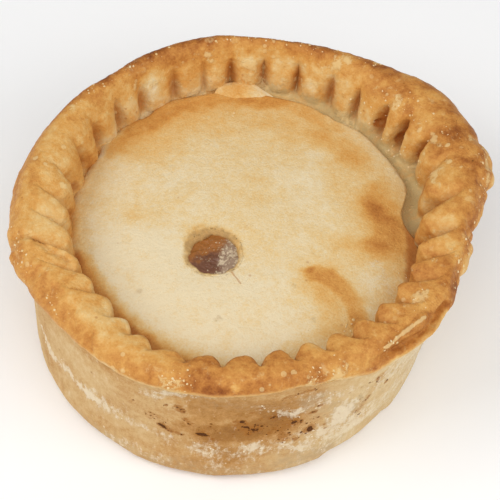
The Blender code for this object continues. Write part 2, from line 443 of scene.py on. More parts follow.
# ---- meshes ----
@dataclass
class Skin:
    """A grid of points that wraps round the pie, with its soft layers.

    Args:
        points: rows by columns by x, y, z.
        looped: whether the last row joins the first, as on a tyre.
        tints: one value for each point and layer.
    """

    points: np.ndarray
    looped: bool
    tints: dict[Tint, np.ndarray] = field(default_factory=dict)

    def normals(self) -> np.ndarray:
        """Find which way the grid faces.

        Returns:
            Unit normals, on the side that faces out of a rim laid anticlockwise.
        """
        along = np.roll(self.points, -1, 1) - np.roll(self.points, 1, 1)
        across = np.gradient(self.points, axis=0)
        if self.looped:
            across = np.roll(self.points, -1, 0) - np.roll(self.points, 1, 0)
        normal = np.cross(along, across)
        return normal / np.maximum(np.linalg.norm(normal, axis=-1, keepdims=True), TINY)

    def mesh(self, name: str) -> Mesh:
        """Make the closed mesh, its ends closed by a centre point unless it is looped.

        Args:
            name: the mesh's name.

        Returns:
            A smooth-shaded mesh with its layers as attributes.
        """
        rows, columns = self.points.shape[:2]
        grid = np.arange(rows * columns).reshape(rows, columns)
        lower, upper = (grid, np.roll(grid, -1, 0)) if self.looped else (grid[:-1], grid[1:])
        quads = np.stack([lower, np.roll(lower, -1, 1), np.roll(upper, -1, 1), upper], -1).reshape(-1, 4)
        corners, sizes = quads.reshape(-1), np.full(len(quads), 4)
        vertices = self.points.reshape(-1, 3)
        if not self.looped:
            poles = np.array([self.points[0].mean(0), self.points[-1].mean(0)])
            vertices = np.concatenate([vertices, poles])
            first, last = grid[0], grid[-1]
            near = np.stack([np.roll(first, -1), first, np.full(columns, rows * columns)], -1)
            far = np.stack([last, np.roll(last, -1), np.full(columns, rows * columns + 1)], -1)
            corners = np.concatenate([corners, near.reshape(-1), far.reshape(-1)])
            sizes = np.concatenate([sizes, np.full(2 * columns, 3)])
        mesh = bpy.data.meshes.new(name)
        mesh.vertices.add(len(vertices))
        mesh.vertices.foreach_set("co", vertices.astype(np.float32).reshape(-1))
        mesh.loops.add(len(corners))
        mesh.loops.foreach_set("vertex_index", corners.astype(np.int32))
        mesh.polygons.add(len(sizes))
        starts = np.concatenate([[0], np.cumsum(sizes)[:-1]])
        mesh.polygons.foreach_set("loop_start", starts.astype(np.int32))
        mesh.update(calc_edges=True)
        mesh.validate()
        for tint in Tint:
            values = self.tints.get(tint, np.zeros((rows, columns))).reshape(-1)
            values = np.concatenate([values, np.zeros(len(vertices) - len(values))])
            layer = mesh.attributes.new(tint.value, "FLOAT", "POINT")
            layer.data.foreach_set("value", values.astype(np.float32))
        mesh.shade_smooth()
        return mesh

    def turned(self, name: str) -> Mesh:
        """Make the closed mesh of a grid that is laid the other way, its faces turned over.

        Args:
            name: the mesh's name.

        Returns:
            The mesh.
        """
        mesh = self.mesh(name)
        mesh.flip_normals()
        return mesh


def blend_rows(controls: np.ndarray, steps: tuple[int, ...], looped: bool) -> np.ndarray:
    """Sample a smooth curve through rows of control values.

    Args:
        controls: rows by anything.
        steps: how many samples each span between two rows gets.
        looped: whether the last row runs on to the first.

    Returns:
        The denser rows.
    """
    count = len(controls)
    dense = []
    for span, step in enumerate(steps):
        before, start, end, after = (
            controls[(span + i) % count] if looped else controls[min(max(span + i, 0), count - 1)]
            for i in (-1, 0, 1, 2))
        for i in range(step):
            t = i / step
            dense.append(0.5 * (
                2.0 * start + (end - before) * t
                + (2.0 * before - 5.0 * start + 4.0 * end - after) * t * t
                + (3.0 * start - before - 3.0 * end + after) * t ** 3))
    if not looped:
        dense.append(controls[-1])
    return np.array(dense)


def show(thing: Piece) -> None:
    """Put an object in the scene."""
    bpy.context.scene.collection.objects.link(thing)


# ---- node trees ----
class Signal:
    """A socket that takes part in arithmetic, each operator adding its Math node."""

    def __init__(self, sheet: "Sheet", socket: bpy.types.NodeSocket) -> None:
        """Wrap one socket of a sheet."""
        self.sheet = sheet
        self.socket = socket

    def math(self, operation: str, *others: "Signal | float") -> "Signal":
        """Join this value with others in one Math node."""
        inputs = dict(enumerate((self, *others)))
        return self.sheet.signal("ShaderNodeMath", {"operation": operation}, inputs)

    def __add__(self, other: "Signal | float") -> "Signal":
        """This plus other."""
        return self.math("ADD", other)

    __radd__ = __add__

    def __mul__(self, other: "Signal | float") -> "Signal":
        """This times other."""
        return self.math("MULTIPLY", other)

    __rmul__ = __mul__

    def __sub__(self, other: "Signal | float") -> "Signal":
        """This less other."""
        return self.math("SUBTRACT", other)

    def __rsub__(self, other: float) -> "Signal":
        """Other less this."""
        return self.math("MULTIPLY", -1.0) + other

    def above(self, low: float, high: float) -> "Signal":
        """0 below low and 1 above high, with a smooth rise between."""
        inputs = {"Value": self, "From Min": low, "From Max": high}
        return self.sheet.signal("ShaderNodeMapRange", {"interpolation_type": 'SMOOTHSTEP'}, inputs)

    def clipped(self) -> "Signal":
        """Kept from 0 to 1."""
        return self.math("MAXIMUM", 0.0).math("MINIMUM", 1.0)


class Sheet:
    """A node tree that is written one node at a time."""

    def __init__(self, tree: bpy.types.NodeTree) -> None:
        """Start on an emptied tree."""
        self.tree = tree
        tree.nodes.clear()

    def node(self, kind: str, settings: Settings = None, inputs: Inputs = None) -> bpy.types.Node:
        """Add a node.

        Args:
            kind: the node's type.
            settings: properties, set before the sockets; "stops" fills a colour ramp.
            inputs: values, sockets or signals for its inputs, by name or number.

        Returns:
            The node.
        """
        node = self.tree.nodes.new(kind)
        for name, value in (settings or {}).items():
            if name == "stops":
                ramp = node.color_ramp
                while len(ramp.elements) < len(value):
                    ramp.elements.new(1.0)
                for element, (position, colour) in zip(ramp.elements, value):
                    element.position = position
                    element.color = (*colour, 1.0)
            else:
                setattr(node, name, value)
        for key, value in (inputs or {}).items():
            socket = node.inputs[key]
            if isinstance(value, Signal):
                value = value.socket
            if isinstance(value, bpy.types.NodeSocket):
                self.tree.links.new(value, socket)
            elif isinstance(value, tuple) and socket.type == 'RGBA':
                socket.default_value = (*value, 1.0)
            else:
                socket.default_value = value
        return node

    def signal(self, kind: str, settings: Settings = None, inputs: Inputs = None,
               output: str | int = 0) -> Signal:
        """Add a node and wrap one of its outputs."""
        return Signal(self, self.node(kind, settings, inputs).outputs[output])

    def mixed(self, factor: "Signal | float", first: Any, second: Any) -> Signal:
        """Mix two colours, the second one showing as far as the factor says."""
        inputs = {0: factor, 6: first, 7: second}
        return self.signal("ShaderNodeMix", {"data_type": 'RGBA'}, inputs, 2)

    def layer(self, tint: Tint) -> Signal:
        """A soft layer that the mesh carries."""
        return self.signal("ShaderNodeAttribute", {"attribute_name": tint.value}, None, "Fac")


# ---- finishes ----
class Coat:
    """A material that is being written."""

    def __init__(self, name: str) -> None:
        """Start a material.

        Args:
            name: the material's name.
        """
        self.material = bpy.data.materials.new(name)
        self.material.use_nodes = True
        self.sheet = Sheet(self.material.node_tree)
        self.where = self.sheet.signal("ShaderNodeTexCoord", None, None, "Object")

    def noise(self, size: float, detail: float = 2.0, rough: float = 0.5, swirl: float = 0.0,
              where: Signal | None = None) -> Signal:
        """Noise from about -0.5 to 0.5.

        Args:
            size: width of a lump, in metres.
            detail: how many finer layers it has.
            rough: how strong each finer layer is against the one before.
            swirl: how far the lumps are drawn out into wisps.
            where: coordinates in place of the piece's own.

        Returns:
            The noise.
        """
        inputs = {"Vector": where or self.where, "Scale": 1.0 / size, "Detail": detail,
                  "Roughness": rough, "Distortion": swirl}
        return self.sheet.signal("ShaderNodeTexNoise", None, inputs) - 0.5

    def cells(self, size: float) -> tuple[Signal, Signal]:
        """Scatter round cells.

        Args:
            size: width of a cell, in metres.

        Returns:
            A chance from 0 to 1 that each cell keeps, and the distance to its middle in cells.
        """
        inputs = {"Vector": self.where, "Scale": 1.0 / size, "Randomness": 1.0}
        cells = self.sheet.node("ShaderNodeTexVoronoi", None, inputs).outputs
        chance = self.sheet.signal("ShaderNodeSeparateColor", None, {"Color": cells["Color"]})
        return chance, Signal(self.sheet, cells["Distance"])

    def spots(self, size: float, share: float) -> Signal:
        """Round spots, one to a cell, that only some cells hold.

        Args:
            size: width of a cell, in metres.
            share: radius of the widest spots as a share of the cell.

        Returns:
            1 in a spot and 0 outside.
        """
        chance, away = self.cells(size)
        radius = (chance - 0.45) * (2.0 * share)
        return (radius - away).above(-0.02, 0.05)

    def specks(self, size: float, amount: Signal) -> Signal:
        """Ragged specks, one to a cell, more and wider where there is more.

        Args:
            size: width of a cell, in metres.
            amount: share of the cells that hold a speck.

        Returns:
            Above 0 in a speck, by the share of a cell to its edge.
        """
        chance, away = self.cells(size)
        ragged = self.noise(0.45 * size, 3.0, 0.6) * 0.35
        return chance + amount - 1.0 + ragged - away

    def close(self, colour: Signal, roughness: "Signal | float", shine: float, height: Signal,
              strength: float, depth: float) -> Material:
        """End the material in one shader.

        Args:
            colour: of the surface.
            roughness: of the surface.
            shine: how strongly it reflects, 0.5 for a plain surface.
            height: the finest relief.
            strength: how far the relief shows.
            depth: how deep the relief is, in metres.

        Returns:
            The material.
        """
        normal = self.sheet.node("ShaderNodeBump", None, {
            "Strength": strength, "Distance": depth, "Height": height})
        shader = self.sheet.node("ShaderNodeBsdfPrincipled", None, {
            "Base Color": colour, "Roughness": roughness, "Normal": normal.outputs["Normal"],
            "Specular IOR Level": shine})
        self.sheet.node("ShaderNodeOutputMaterial", None, {"Surface": shader.outputs["BSDF"]})
        return self.material


Ramp = tuple[tuple[float, Colour], ...]
GOLDEN_RAMP: Ramp = (
    (0.00, (0.79, 0.66, 0.43)),
    (0.15, (0.76, 0.56, 0.28)),
    (0.30, (0.73, 0.45, 0.160)),
    (0.45, (0.67, 0.335, 0.084)),
    (0.60, (0.55, 0.230, 0.050)),
    (0.75, (0.39, 0.135, 0.026)),
    (0.90, (0.22, 0.058, 0.011)),
    (1.00, (0.09, 0.020, 0.006)),
)
TAN_RAMP: Ramp = (
    (0.00, (0.78, 0.64, 0.39)),
    (0.15, (0.71, 0.525, 0.280)),
    (0.30, (0.64, 0.418, 0.190)),
    (0.45, (0.53, 0.283, 0.096)),
    (0.60, (0.40, 0.185, 0.046)),
    (1.00, (0.14, 0.045, 0.012)),
)


@dataclass(frozen=True)
class CrustFinish:
    """Baked pastry: browning, painted shade in pinches and crevices, dry skin, flour, damp and specks over
    a mottled ground.

    Args:
        name: the material's name.
        ramp: colours from unbaked to burnt.
        mottle: strengths of the broad, middle and fine mottling.
        blisters: how pale the small round blisters are.
        wisps: how pale the streaky patches of dry skin are.
        streaks: how streaky the flour and the ground are, down the crust.
        pores: how dark the small brown pores are.
        pore_size: width of the cells that hold one pore each, in metres.
        pore_width: radius of the widest pores as a share of their cell.
        groove_tone: colour of the painted shade in pinches and crevices, which the pores turn to as well.
        pale_tone: colour of dry blisters and flaked skin.
        halo_tone: colour round the burnt specks.
        bump: depth of the finest relief, in metres.
    """

    name: str
    ramp: Ramp = GOLDEN_RAMP
    mottle: tuple[float, float, float] = (0.18, 0.24, 0.12)
    blisters: float = 0.0
    wisps: float = 0.0
    streaks: float = 0.0
    pores: float = 0.5
    pore_size: float = 0.0022
    pore_width: float = 0.16
    groove_tone: Colour = (0.42, 0.145, 0.030)
    damp_tone: Colour = (0.52, 0.39, 0.180)
    pale_tone: Colour = (0.80, 0.58, 0.27)
    flour_tone: Colour = (0.83, 0.71, 0.52)
    halo_tone: Colour = (0.36, 0.135, 0.022)
    scorch_tone: Colour = (0.085, 0.024, 0.002)
    roughness: float = 0.50
    shine: float = 0.16
    bump: float = 0.00022

    def ground(self, coat: Coat, streaks: Signal) -> Signal:
        """The browned ground, mottled at three sizes and streaked.

        Args:
            coat: the material that is being written.
            streaks: noise that runs down the crust.

        Returns:
            The colour.
        """
        broad, middle, fine = self.mottle
        level = (coat.sheet.layer(Tint.BAKE) + coat.noise(0.0060, 3.0) * broad * 2.0
                 + coat.noise(0.0017, 4.0, 0.6) * middle * 2.0
                 + coat.noise(0.0004, 3.0, 0.6) * fine * 2.0 - streaks * 0.16)
        return coat.sheet.signal("ShaderNodeValToRGB", {"stops": self.ramp}, {"Fac": level})

    def material(self) -> Material:
        """Build the material.

        Returns:
            The material.
        """
        coat = Coat(self.name)
        sheet = coat.sheet
        upright = sheet.signal("ShaderNodeVectorMath", {"operation": 'MULTIPLY'}, {
            0: coat.where, 1: (1.0, 1.0, 0.28)})
        streaks = coat.noise(0.0011, 5.0, 0.68, where=upright) * self.streaks
        colour = self.ground(coat, streaks)

        # painted shade in pinches and crevices, with some real browning in the pinches, and moist places
        groove = sheet.layer(Tint.GROOVE)
        uneven = coat.noise(0.0011, 3.0)
        colour = sheet.mixed((groove + uneven * 0.35).above(0.15, 1.25), colour, self.groove_tone)
        damp = (sheet.layer(Tint.DAMP) + uneven * 1.1).above(0.1, 1.0)
        colour = sheet.mixed(damp * 0.85, colour, self.damp_tone)

        # dry skin, pores and blisters
        crackle = coat.noise(0.0009, 4.0, 0.65)
        pale = (sheet.layer(Tint.PALE) + crackle * 1.3).above(0.42, 0.66)
        colour = sheet.mixed(pale * 0.62, colour, self.pale_tone)
        dry = (1.0 - damp) * self.wisps
        wisps = coat.noise(0.0024, 6.0, 0.68, 0.5).above(0.07, 0.20) * dry
        colour = sheet.mixed(wisps, colour, self.pale_tone)
        pores = coat.spots(self.pore_size, self.pore_width) * self.pores
        colour = sheet.mixed(pores, colour, self.groove_tone)
        gathered = coat.noise(0.0090, 2.0).above(0.0, 0.08)
        blisters = coat.spots(0.0019, 0.30) * (uneven + 0.55).above(0.25, 0.6)
        blisters = blisters * gathered * self.blisters
        colour = sheet.mixed(blisters, colour, self.pale_tone)

        dust = coat.noise(0.0013, 7.0, 0.78)
        flour = (sheet.layer(Tint.FLOUR) + dust * 2.2 + streaks * 2.4).above(0.34, 0.90)
        colour = sheet.mixed(flour * 0.78, colour, self.flour_tone)

        # burnt specks, brown at the edge
        burnt = sheet.layer(Tint.SCORCH)
        few = burnt.math("MINIMUM", 0.45)
        specks = coat.specks(0.0011, few)
        specks = specks.math("MAXIMUM", coat.specks(0.0006, few))
        marks = burnt + coat.noise(0.0005, 4.0, 0.65) * 1.5
        halo = specks.above(-0.16, 0.06).math("MAXIMUM", marks.above(0.34, 0.90))
        colour = sheet.mixed(halo * 0.75, colour, self.halo_tone)
        char = specks.above(0.0, 0.14).math("MAXIMUM", marks.above(1.40, 1.70))
        colour = sheet.mixed(char * 0.95, colour, self.scorch_tone)

        relief = (coat.noise(0.0004, 3.0, 0.6) + crackle * 1.2 + pale * 0.5
                  + flour * 0.4 + blisters - pores * 0.6)
        roughness = (flour * 0.3 + pale * 0.08 + uneven * 0.12 + self.roughness).clipped()
        return coat.close(colour, roughness, self.shine, relief, 0.65, self.bump)


@dataclass(frozen=True)
class MeatFinish:
    """Moist cooked meat with jelly, browned on one side and grey on the other, with pale flecks."""

    name: str = "moist meat"
    dark: Colour = (0.15, 0.056, 0.025)
    warm: Colour = (0.33, 0.115, 0.018)
    grey: Colour = (0.32, 0.21, 0.135)
    fleck: Colour = (0.62, 0.49, 0.32)
    roughness: float = 0.36
    shine: float = 0.5
    bump: float = 0.00025

    def material(self) -> Material:
        """Build the material.

        Returns:
            The material.
        """
        coat = Coat(self.name)
        sheet = coat.sheet
        lumps = coat.noise(0.0016, 3.0)
        colour = sheet.mixed((sheet.layer(Tint.BAKE) + lumps * 0.8).above(0.3, 0.7), self.dark, self.warm)
        grey = (sheet.layer(Tint.DAMP) + lumps * 0.6).above(0.35, 0.65)
        colour = sheet.mixed(grey, colour, self.grey)
        bits = coat.noise(0.00045, 3.0, 0.6)
        patches = coat.noise(0.0013, 3.0, 0.6)
        flecks = (grey * 0.22 + bits * 1.2 + patches * 0.9).above(0.16, 0.30)
        colour = sheet.mixed(flecks * 0.8, colour, self.fleck)
        roughness = (bits * 0.3 + self.roughness).clipped()
        return coat.close(colour, roughness, self.shine, bits + lumps, 0.6, self.bump)


@dataclass(frozen=True)
class BitFinish:
    """Loose bits of one kind, each shaded between two tones."""

    name: str
    light: Colour
    dark: Colour
    roughness: float = 0.75
    shine: float = 0.15
    bump: float = 0.00005

    def material(self) -> Material:
        """Build the material.

        Returns:
            The material.
        """
        coat = Coat(self.name)
        patches = coat.noise(0.0012, 3.0)
        colour = coat.sheet.mixed((patches + 0.5).above(0.3, 0.7), self.dark, self.light)
        return coat.close(colour, self.roughness, self.shine, coat.noise(0.0002), 0.4, self.bump)


# ---- geometry nodes ----
class Growth:
    """A geometry node tree with named inputs, run once on a surface to give a plain mesh."""

    def __init__(self, name: str, sizes: dict[str, float | int]) -> None:
        """Start a tree.

        Args:
            name: the tree's name.
            sizes: the named inputs and their values; whole numbers become integer sockets.
        """
        self.tree = bpy.data.node_groups.new(name, "GeometryNodeTree")
        self.sizes = sizes
        self.sheet = Sheet(self.tree)
        face = self.tree.interface
        face.new_socket("Geometry", in_out='INPUT', socket_type="NodeSocketGeometry")
        for key, value in sizes.items():
            kind = "NodeSocketInt" if isinstance(value, int) else "NodeSocketFloat"
            face.new_socket(key, in_out='INPUT', socket_type=kind)
        face.new_socket("Geometry", in_out='OUTPUT', socket_type="NodeSocketGeometry")
        self.inputs = self.sheet.node("NodeGroupInput")

    def size(self, name: str) -> Signal:
        """One of the named inputs."""
        return Signal(self.sheet, self.inputs.outputs[name])

    def layer(self, tint: Tint) -> Signal:
        """A soft layer of the surface."""
        settings = {"data_type": 'FLOAT'}
        return self.sheet.signal("GeometryNodeInputNamedAttribute", settings, {"Name": tint.value})

    def random(self, seed: Signal, low: float, high: float) -> Signal:
        """A number from low to high for each bit."""
        inputs = {"Seed": seed, 2: low, 3: high}
        return self.sheet.signal("FunctionNodeRandomValue", {"data_type": 'FLOAT'}, inputs, 1)

    def close(self, shapes: bpy.types.NodeSocket, material: Material) -> None:
        """End the tree: real shapes, with their material.

        Args:
            shapes: the socket that gives the shapes.
            material: what they are made of.
        """
        real = self.sheet.node("GeometryNodeRealizeInstances", None, {"Geometry": shapes})
        dressed = self.sheet.node("GeometryNodeSetMaterial", None, {
            "Geometry": real.outputs[0], "Material": material})
        self.sheet.node("NodeGroupOutput", None, {"Geometry": dressed.outputs[0]})

    def grow(self, surface: Mesh, name: str, material: Material) -> Piece:
        """Run the tree on a surface.

        Args:
            surface: the mesh that it starts from.
            name: the finished piece's name.
            material: what the piece is made of.

        Returns:
            An object at the origin that holds a plain mesh.
        """
        bed = bpy.data.objects.new(name + ".bed", surface)
        show(bed)
        modifier = bed.modifiers.new("Growth", 'NODES')
        modifier.node_group = self.tree
        for item in self.tree.interface.items_tree:
            if item.in_out == 'INPUT' and item.name in self.sizes:
                modifier[item.identifier] = self.sizes[item.name]
        depsgraph = bpy.context.evaluated_depsgraph_get()
        mesh = bpy.data.meshes.new_from_object(
            bed.evaluated_get(depsgraph), preserve_all_data_layers=True, depsgraph=depsgraph)
        bpy.data.objects.remove(bed, do_unlink=True)
        mesh.name = name
        mesh.materials.clear()
        mesh.materials.append(material)
        mesh.polygons.foreach_set("material_index", np.zeros(len(mesh.polygons), np.int32))
        mesh.shade_smooth()
        piece = bpy.data.objects.new(name, mesh)
        show(piece)
        return piece


@dataclass(frozen=True)
class Relief:
    """Lumps and wrinkles that stand out of a surface along its normals.

    Args:
        broad: height of the broad lumps, in metres.
        broad_size: their width.
        fine: height of the fine wrinkles.
        fine_size: their width.
        seed: picks the pattern.
    """

    broad: float
    broad_size: float
    fine: float
    fine_size: float
    seed: int

    def raise_on(self, surface: Mesh, name: str, material: Material) -> Piece:
        """Roughen a surface.

        Args:
            surface: the smooth mesh, which carries the relief layer.
            name: the finished piece's name.
            material: what it is made of.

        Returns:
            The finished piece.
        """
        growth = Growth("Relief " + name, {
            "Broad height": self.broad, "Broad size": self.broad_size,
            "Fine height": self.fine, "Fine size": self.fine_size, "Seed": self.seed})
        sheet = growth.sheet
        seed = growth.size("Seed") * 7.3
        waves: list[Signal] = []
        for kind, detail in (("Broad", 1.0), ("Fine", 2.0)):
            scale = sheet.signal("ShaderNodeMath", {"operation": 'DIVIDE'}, {
                0: 1.0, 1: growth.size(kind + " size")})
            noise = sheet.signal("ShaderNodeTexNoise", {"noise_dimensions": '4D'}, {
                "W": seed, "Scale": scale, "Detail": detail})
            waves.append((noise - 0.5) * 2.0 * growth.size(kind + " height"))
        lift = (waves[0] + waves[1]) * growth.layer(Tint.RELIEF)
        normal = sheet.node("GeometryNodeInputNormal")
        offset = sheet.node("ShaderNodeVectorMath", {"operation": 'SCALE'}, {
            "Vector": normal.outputs[0], "Scale": lift})
        moved = sheet.node("GeometryNodeSetPosition", None, {
            "Geometry": growth.inputs.outputs["Geometry"], "Offset": offset.outputs[0]})
        growth.close(moved.outputs[0], material)
        return growth.grow(surface, name, material)


@dataclass(frozen=True)
class Sprinkle:
    """Small bits strewn over a surface where one of its layers is strong.

    Args:
        tint: the layer that says where.
        density: bits to a square metre where the layer is 1.
        smallest: least radius, in metres.
        largest: greatest radius.
        flat: thickness as a share of the radius.
        ragged: how far noise dents each bit, as a share of the radius.
        seed: picks the places and shapes.
        lift: height of a bit's middle above the surface, as a share of its radius.
    """

    tint: Tint
    density: float
    smallest: float
    largest: float
    flat: float
    ragged: float
    seed: int
    lift: float = 0.1

    def strew(self, surface: Mesh, name: str, material: Material) -> Piece:
        """Strew the bits over a surface.

        Args:
            surface: the mesh that they lie on.
            name: the finished piece's name.
            material: what they are made of.

        Returns:
            All the bits as one piece.
        """
        growth = Growth("Sprinkle " + name, {
            "Density": self.density, "Smallest": self.smallest, "Largest": self.largest,
            "Flatness": self.flat, "Raggedness": self.ragged, "Seed": self.seed, "Lift": self.lift})
        sheet = growth.sheet
        seed = growth.size("Seed")
        where = (growth.layer(self.tint) - 0.25).math("MAXIMUM", 0.0) * growth.size("Density")
        points = sheet.node("GeometryNodeDistributePointsOnFaces", None, {
            "Mesh": growth.inputs.outputs["Geometry"], "Density": where, "Seed": seed})
        shape = sheet.node("GeometryNodeMeshUVSphere", None, {"Radius": 1.0, "Segments": 7, "Rings": 5})
        chance = growth.random(seed, 0.0, 1.0)
        size = growth.size("Smallest") + chance * chance * chance * (
            growth.size("Largest") - growth.size("Smallest"))
        turn = growth.random(seed + 1, 0.0, 2.0 * math.pi)
        spin = sheet.node("ShaderNodeCombineXYZ", None, {"Z": turn})
        spun = sheet.node("FunctionNodeEulerToRotation", None, {0: spin.outputs[0]})
        rotation = sheet.node("FunctionNodeRotateRotation", {"rotation_space": 'LOCAL'}, {
            0: points.outputs["Rotation"], 1: spun.outputs[0]})
        stretch = growth.random(seed + 2, 0.55, 1.0)
        scale = sheet.node("ShaderNodeCombineXYZ", None, {
            "X": size, "Y": size * stretch, "Z": size * growth.size("Flatness")})
        instances = sheet.node("GeometryNodeInstanceOnPoints", None, {
            "Points": points.outputs["Points"], "Instance": shape.outputs[0],
            "Rotation": rotation.outputs[0], "Scale": scale.outputs[0]})
        raised = sheet.node("ShaderNodeVectorMath", {"operation": 'SCALE'}, {
            "Vector": (0.0, 0.0, 1.0), "Scale": size * growth.size("Lift")})
        lifted = sheet.node("GeometryNodeTranslateInstances", None, {
            "Instances": instances.outputs[0], "Translation": raised.outputs[0],
            "Local Space": True})
        real = sheet.node("GeometryNodeRealizeInstances", None, {"Geometry": lifted.outputs[0]})
        noise = sheet.node("ShaderNodeTexNoise", {"noise_dimensions": '4D'}, {
            "W": seed * 3.1, "Scale": 1.0 / (1.3 * self.largest), "Detail": 1.0})
        dent = sheet.node("ShaderNodeVectorMath", {"operation": 'SUBTRACT'}, {
            0: noise.outputs["Color"], 1: (0.5, 0.5, 0.5)})
        shift = sheet.node("ShaderNodeVectorMath", {"operation": 'SCALE'}, {
            "Vector": dent.outputs[0], "Scale": growth.size("Raggedness") * growth.size("Largest")})
        bent = sheet.node("GeometryNodeSetPosition", None, {
            "Geometry": real.outputs[0], "Offset": shift.outputs[0]})
        growth.close(bent.outputs[0], material)
        return growth.grow(surface, name, material)


# ---- the crimped rim ----
@dataclass(frozen=True)
class Pinch:
    """One crimp of the rim.

    Args:
        degrees: where it meets the valley.
        strength: its depth against its neighbours'.
        breadth: width of its groove, as a share of the way to the next crimp.
    """

    degrees: float
    strength: float
    breadth: float


PINCHES = tuple(Pinch(*row) for row in (
    (5, 1, .5), (20, .4, .4), (30, .9, .35), (39.5, 1.1, .6), (47.5, 1.1, .5), (58.5, .9, .35),
    (68, 1, .6), (79.5, 1, .4), (90, 1, .5), (100, 1.1, .55), (108.5, .6, .25), (118, .8, .35),
    (130, .8, .4), (139.5, .9, .4), (151, 1.1, .45), (161.5, 1, .6), (173.5, .9, .6),
    (184.5, .8, .6), (194, .9, .5), (204, .9, .5), (212, .9, .5), (220.5, .9, .5), (231, .9, .5),
    (238, .8, .5), (245.5, .8, .5), (255, .7, .4), (264.5, 1, .5), (274.5, .9, .5), (284, .9, .5),
    (293.5, 1, .5), (303, 1.1, .5), (312.5, 1.1, .5), (322.5, 1, .5), (332.5, .9, .5),
    (341.5, .8, .5), (351, 1, .5)))


